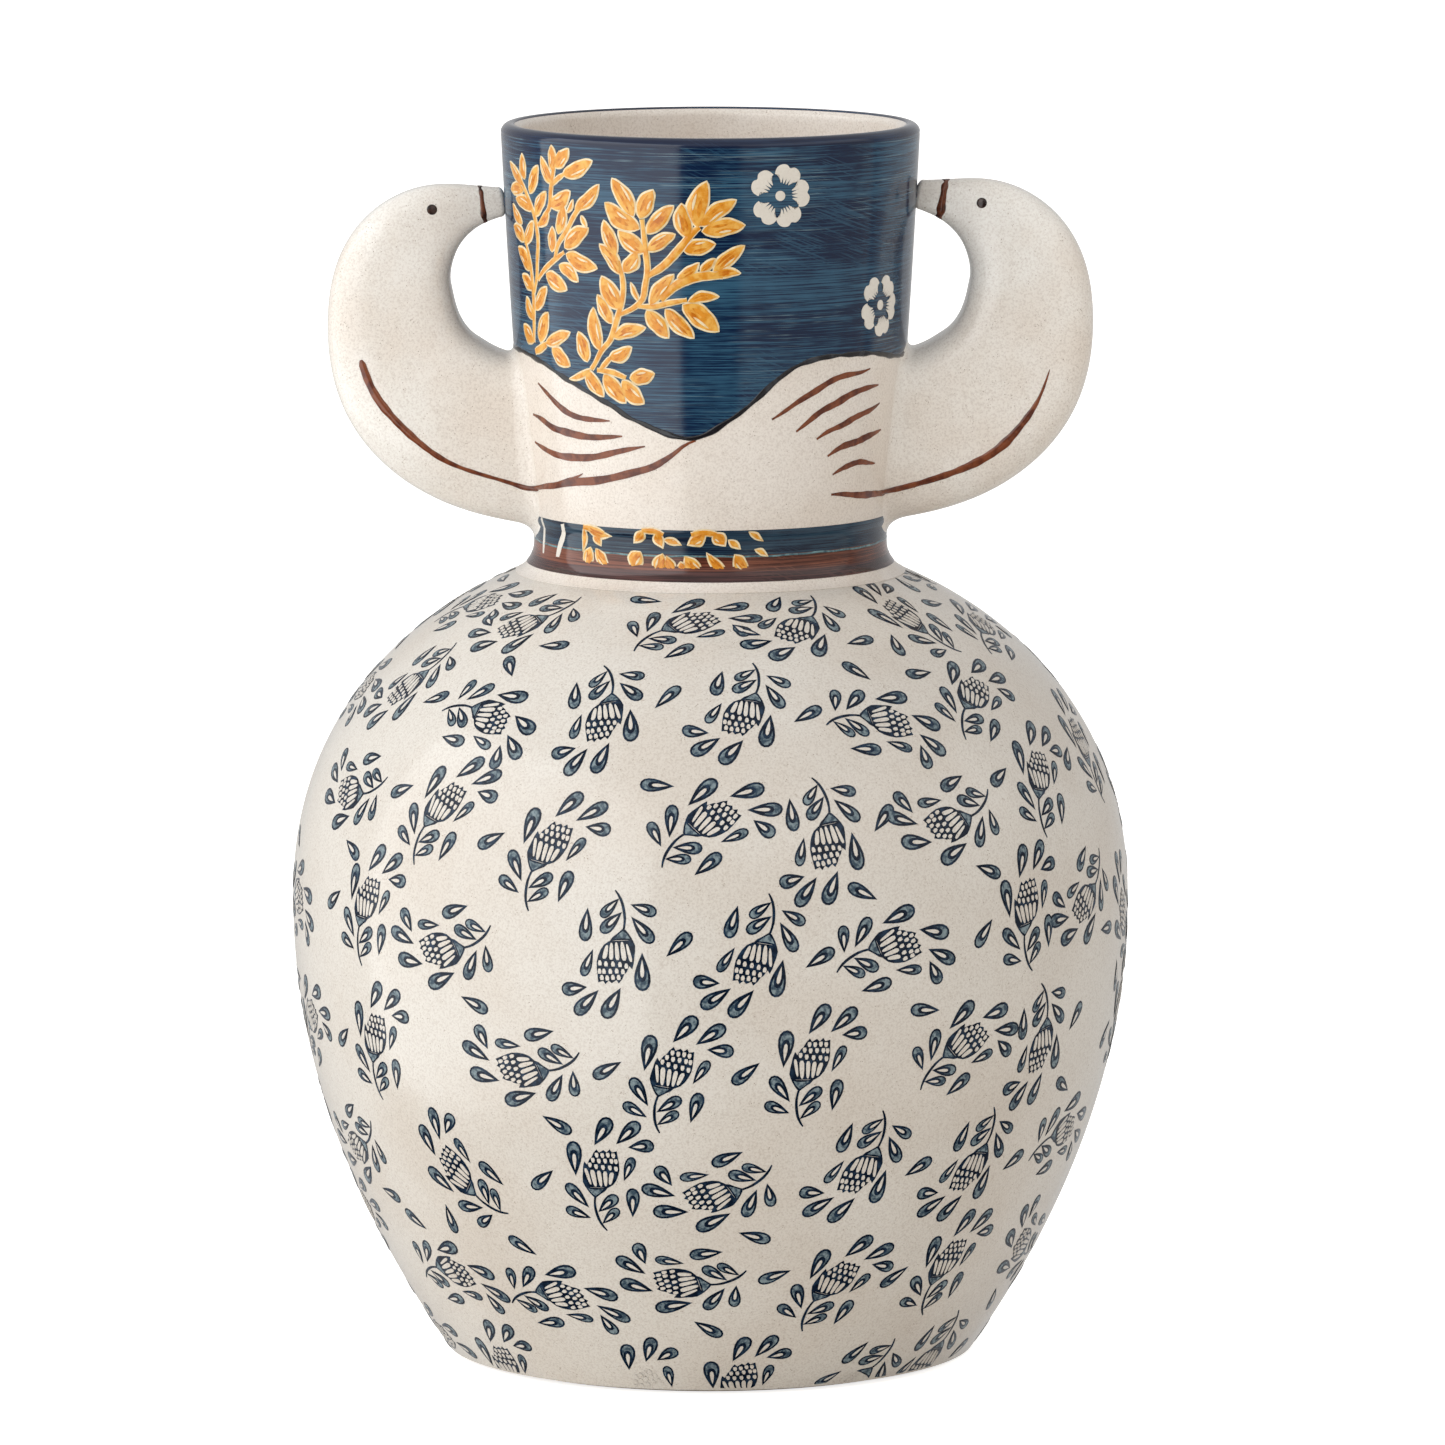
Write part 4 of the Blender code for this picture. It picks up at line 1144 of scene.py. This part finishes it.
def makeBird(side):
    rows = bird["rows"]
    columns = bird["columns"]
    nose = -bird["noseLength"] * np.cos(np.linspace(0, math.pi / 2, 14))[:-1] ** 0.5
    t = np.concatenate((nose[1:], np.linspace(0, birdKnots[-1], rows)))
    turn = np.linspace(0, fullTurn, columns, endpoint=False)
    points = onBird(side, t[:, None], turn[None, :])
    # the tail ends inside the neck's wall: rows past it are drawn back to the wall's middle
    limit = neckRadius(np.clip(points[..., 2], 240, 366)) - 2.4
    deep = np.sqrt(np.clip(limit**2 - points[..., 1] ** 2, 1, None))
    tail = t[:, None] > birdKnots[-1] * 0.75
    points[..., 0] = np.where(tail, np.maximum(points[..., 0], deep), points[..., 0])
    inside = (np.abs(points[..., 0] - deep).max(1) < 1e-6) & tail[:, 0]
    firstInside = np.argmax(inside) if inside.any() else len(t) - 1
    points = points[:firstInside + 1]
    start, run = birdLine(side, np.array([0.0]))
    tip = start[0, :2] - run[0] * bird["noseLength"]
    flat = np.vstack((points.reshape(-1, 3), [[tip[0], 0, tip[1]]], points[-1].mean(0, keepdims=True)))
    corners, sizes = cappedCorners(len(points), columns)
    birdPiece("bird", side, flat, corners, sizes, "birdCream", sharp=50, replaces="bird_handle")


# The slip round the tail: for each turn the joint point C is where the bird meets the neck, B lies a little
# up the bird and N a little out on the neck, and the skin is the curve (1-s)^2 B + 2s(1-s) C + s^2 N.
tailSlip = {"onBird": 5.6, "onNeck": 4.6, "columns": 96, "rows": 12}


def makeTailSlip(side):
    turn = np.linspace(0, fullTurn, tailSlip["columns"], endpoint=False)
    t = np.linspace(birdKnots[-1] * 0.55, birdKnots[-1], 500)
    points = onBird(side, t[:, None], turn[None, :])
    clear = np.hypot(points[..., 0], points[..., 1]) - neckRadius(np.clip(points[..., 2], 230, 366))
    hit = np.argmax(clear < 0, axis=0)
    before = np.clip(hit - 1, 0, None)
    column = np.arange(len(turn))
    c0 = clear[before, column]
    share = c0 / np.maximum(c0 - clear[hit, column], 1e-9)
    tJoint = t[before] + (t[hit] - t[before]) * share
    joint = onBird(side, tJoint, turn)
    tUp = tJoint - tailSlip["onBird"]
    onB = onBird(side, tUp, turn)
    z = joint[:, 2]
    angle = np.arctan2(joint[:, 0], -joint[:, 1])
    outline = np.stack([(angle - math.pi / 2) * neck["radius"], z], -1)
    # the way out is square to the joint's own outline on the neck
    tangent = np.roll(outline, -1, 0) - np.roll(outline, 1, 0)
    square = unit(np.stack([tangent[:, 1], -tangent[:, 0]], -1))
    square = square * np.sign(np.sum(square * (outline - [0.0, z.mean()]), 1, keepdims=True))
    flatN = outline + square * tailSlip["onNeck"]
    angleN = flatN[:, 0] / neckRadius(flatN[:, 1]) + math.pi / 2
    onN, _ = onNeck(angleN, flatN[:, 1], 0.03)
    inN, _ = onNeck(angleN, flatN[:, 1], -0.5)
    skin = bendLine(onB, joint, onN, np.linspace(0, 1, tailSlip["rows"])[:, None, None])
    normal = birdNormal(side, tUp, turn)
    skin[0] += normal * 0.02
    # the underside runs through the clay, and a little inside the joint
    corner = joint + ([70.0, 0.0, z.mean()] - joint) * 0.02 - [0.8, 0, 0]
    loop = np.concatenate((skin, [inN], [corner], [onB - normal * 0.5]))
    quads = gridCorners(len(loop), len(turn), wrapRows=True, wrapColumns=True)
    birdPiece("tailSlip", side, loop.reshape(-1, 3), quads.ravel(), np.full(len(quads), 4), "birdCream",
              sharp=70, replaces="tail_slip")


# A dab of blue slip holds the beak: a short flared ring from the neck to the beak's end.
beakDab = {"radius": 2.2, "flare": 0.5, "length": 1.3}


def makeBeakDab(side):
    z = bird["stations"][0][1] + bird["lift"][side]
    share = np.linspace(0, 1, 8)[:, None]
    radius = beakDab["radius"] + beakDab["flare"] * (1 - share) ** 2
    x = float(neckRadius(z)) - 0.5 + (beakDab["length"] + 0.5) * share
    turn = np.linspace(0, fullTurn, 32, endpoint=False)
    rings = np.stack(np.broadcast_arrays(x, radius * np.cos(turn), z + radius * np.sin(turn)), -1)
    points = np.vstack((rings.reshape(-1, 3), [[x[0, 0], 0, z], [x[-1, 0], 0, z]]))
    corners, sizes = cappedCorners(len(share), len(turn))
    birdPiece("beakDab", side, points, corners, sizes, "lipBlue", "blue_glaze", 60, "beak_slip")


# Paint with a raised middle along a line of skin points with their normals: half is its half width.
def paintRing(centre, normal, half, lift):
    across = unit(np.cross(np.gradient(centre, axis=0), normal))
    place = np.array([-1.0, -1.0, 0.0, 1.0, 1.0])
    rise = np.array([-0.25, 0.6, 1.0, 0.6, -0.25]) * lift
    return (centre[:, None, :] + across[:, None, :] * (half[:, None] * place)[..., None]
            + normal[:, None, :] * rise[:, None])


# The skin that is nearest the front at points seen from there, as (distance from the axis, height).
def frontSkin(side, seen):
    points = []
    faces = []
    for name in (f"bird{side.title()}", f"tailSlip{side.title()}", "vaseNeck"):
        mesh = bpy.data.objects[name].data
        shift = sum(len(p) for p in points)
        co = np.empty(len(mesh.vertices) * 3, np.float32)
        mesh.vertices.foreach_get("co", co)
        points.append(co.reshape(-1, 3) / mm)
        faces += [tuple(v + shift for v in p.vertices) for p in mesh.polygons]
    tree = BVHTree.FromPolygons(np.vstack(points).tolist(), faces)
    hits = [tree.ray_cast((sides[side] * x, -200.0, z), (0.0, 1.0, 0.0)) for x, z in seen]
    centre = np.array([tuple(hit[0]) for hit in hits]) * [sides[side], 1, 1]
    normal = np.array([tuple(hit[1]) for hit in hits]) * [sides[side], 1, 1]
    normal = normal * np.where(normal[:, 1:2] > 0, -1.0, 1.0)
    return centre, normal


# Each value becomes the mean of those within reach of it along the line.
def evened(values, reach):
    padded = np.pad(values, ((reach, reach), (0, 0)), "edge")
    window = np.ones(2 * reach + 1) / (2 * reach + 1)
    return np.stack([np.convolve(column, window, "valid") for column in padded.T], -1)


# A closed strip of paint from rings of points across it, the same on the bird's two faces.
def paintStrip(ring):
    rows, columns = ring.shape[:2]
    quads = gridCorners(rows, columns, wrapColumns=True)
    ends = np.arange(columns)
    corners = np.concatenate((quads.ravel(), ends[::-1], (rows - 1) * columns + ends))
    sizes = np.concatenate((np.full(len(quads), 4), [columns, columns]))
    points, corners, sizes = withBack(ring.reshape(-1, 3), corners, sizes)
    return points, turnFaces(corners, sizes), sizes


def paintBird(side):
    # the long stroke of the wing's edge runs over the bird and the slip, to the strokes on the neck
    path = smoothLine(bird["line"][side], 90)
    centre, normal = frontSkin(side, path)
    normal = unit(evened(normal, 3))
    centre[:, 1:2] = evened(centre[:, 1:2], 2)
    widths = bird["lineWidths"][side]
    share = np.linspace(0, 1, len(path))
    half = np.interp(share, np.linspace(0, 1, len(widths)), widths) / 2
    half = half * np.clip(np.minimum(share, 1 - share) / 0.02, 0.15, 1) ** 0.5
    half = half * (1 + 0.07 * np.sin(share * 37) + 0.05 * np.sin(share * 83 + 1))
    birdPiece("birdStrokes", side, *paintStrip(paintRing(centre, normal, half, 0.16)), "brown")
    # the line across the beak leans from its top to its underside
    ends, _ = birdPlaces(side, bird["beakLine"][side])
    turn = np.linspace(0.0, math.pi, 36)
    t = (ends[0] + ends[1]) / 2 + (ends[0] - ends[1]) / 2 * np.cos(turn) + 0.12 * np.sin(turn * 4)
    half = bird["beakLineWidth"][side] / 2 * (1 - 0.22 * np.sin(turn * 2.5) + 0.2 * np.sin(turn * 7 + 1))
    line = paintRing(onBird(side, t, turn), birdNormal(side, t, turn), half, 0.12)
    birdPiece("beakLines", side, *paintStrip(line), "beakBrown")
    # the eye is a low round dome on each face
    tEye, turnEye = birdPlaces(side, [bird["eye"][side]])
    centre = onBird(side, tEye, turnEye)[0]
    normal = birdNormal(side, tEye, turnEye)[0]
    u = unit(np.cross([0, 0, 1.0], normal))
    v = np.cross(normal, u)
    a = np.linspace(0, fullTurn, 28, endpoint=False)[:, None]
    ring = np.array([1.0, 1.0, 0.88, 0.6, 0.3])[:, None, None] * bird["eyeRadius"]
    rise = np.array([-0.4, 0.05, 0.16, 0.26, 0.30])[:, None, None]
    dome = centre + ring * (np.cos(a) * u + np.sin(a) * v) + rise * normal
    points = np.vstack((dome.reshape(-1, 3), [centre - normal * 0.4, centre + normal * 0.31]))
    birdPiece("eyes", side, *withBack(points, *cappedCorners(len(dome), len(a))), "eye")


for side in sides:
    makeBird(side)
    makeTailSlip(side)
    makeBeakDab(side)
    paintBird(side)
print("stage 6: birds made")


# Studio

studio = {
    "camera": (0.0036, -3.2268, 0.6264), "tilt": 82.28, "lens": 271.3,
    "white": 1.05, "floorGlow": 0.78, "skyHigh": 0.62, "skyLow": 0.05,
    "skyFrom": 0.10, "skyTo": 0.45, "skyBehind": 0.55,
    "floorHalf": 14, "floorColour": (0.91, 0.88, 0.84, 1),
    # direction round the axis, distance, height, width, tallness, brightness and colour of each softbox
    "softboxes": [(-62.0, 2.6, 0.7, 5.2, 4.4, 1.75, (0.97, 0.99, 1.0)),
                  (59.0, 2.6, 0.7, 4.7, 4.4, 0.40, (1.0, 0.95, 0.88))],
}


# The sky is dim at the horizon in front, and bright overhead and behind; the camera sees plain white.
def makeSky(scene):
    world = bpy.data.worlds.new("studioWorld")
    scene.world = world
    world.use_nodes = True
    tree = world.node_tree
    background = tree.nodes["Background"]
    background.inputs["Color"].default_value = (1, 1, 1, 1)
    direction = addNode(tree, "ShaderNodeTexCoord").outputs["Generated"]
    parts = addNode(tree, "ShaderNodeSeparateXYZ")
    tree.links.new(direction, parts.inputs["Vector"])
    lit = rangeNode(tree, parts.outputs["Z"], studio["skyFrom"], studio["skyTo"], studio["skyLow"],
                    studio["skyHigh"])
    behind = rangeNode(tree, parts.outputs["Y"], 0.0, 0.5, 0.0, studio["skyBehind"])
    lit = mathNode(tree, "MAXIMUM", lit, behind)
    seen = addNode(tree, "ShaderNodeLightPath").outputs["Is Camera Ray"]
    strength = mathNode(tree, "MAXIMUM", lit, mathNode(tree, "MULTIPLY", seen, studio["white"]))
    tree.links.new(strength, background.inputs["Strength"])


# The floor is matt and pale. It glows to the camera alone, so that it and the sky meet without a line.
def makeFloor(scene):
    mesh = bpy.data.meshes.new("studioFloor")
    half = studio["floorHalf"]
    mesh.from_pydata([(-half, -half, 0), (half, -half, 0), (half, half, 0), (-half, half, 0)], [],
                     [(0, 1, 2, 3)])
    floor = bpy.data.objects.new("studioFloor", mesh)
    scene.collection.objects.link(floor)
    floor.visible_glossy = False
    material = bpy.data.materials.new("paleFloor")
    material.use_nodes = True
    tree = material.node_tree
    shader = tree.nodes["Principled BSDF"]
    shader.inputs["Base Color"].default_value = studio["floorColour"]
    shader.inputs["Roughness"].default_value = 0.9
    shader.inputs["Specular IOR Level"].default_value = 0.1
    shader.inputs["Emission Color"].default_value = (1, 1, 1, 1)
    seen = addNode(tree, "ShaderNodeLightPath").outputs["Is Camera Ray"]
    tree.links.new(mathNode(tree, "MULTIPLY", seen, studio["floorGlow"]), shader.inputs["Emission Strength"])
    mesh.materials.append(material)


def makeStudio():
    scene = bpy.context.scene
    scene.view_settings.view_transform = "Standard"
    data = bpy.data.cameras.new("studioCamera")
    data.lens = studio["lens"]
    data.sensor_width = 36.0
    data.clip_end = 60.0
    camera = bpy.data.objects.new("studioCamera", data)
    camera.location = studio["camera"]
    camera.rotation_euler = (math.radians(studio["tilt"]), 0, 0)
    scene.collection.objects.link(camera)
    scene.camera = camera
    for i, (direction, distance, height, width, tall, bright, tint) in enumerate(studio["softboxes"]):
        light = bpy.data.lights.new(f"softbox{i + 1}", "AREA")
        light.shape = "RECTANGLE"
        light.size = width
        light.size_y = tall
        light.energy = bright * math.pi * width * tall
        light.color = tint
        holder = bpy.data.objects.new(f"softbox{i + 1}", light)
        way = math.radians(direction)
        holder.location = (distance * math.sin(way), -distance * math.cos(way), height)
        holder.rotation_euler = (math.radians(90), 0, way)
        holder.visible_camera = False
        scene.collection.objects.link(holder)
    makeSky(scene)
    makeFloor(scene)


makeStudio()
print("stage 7: studio set")
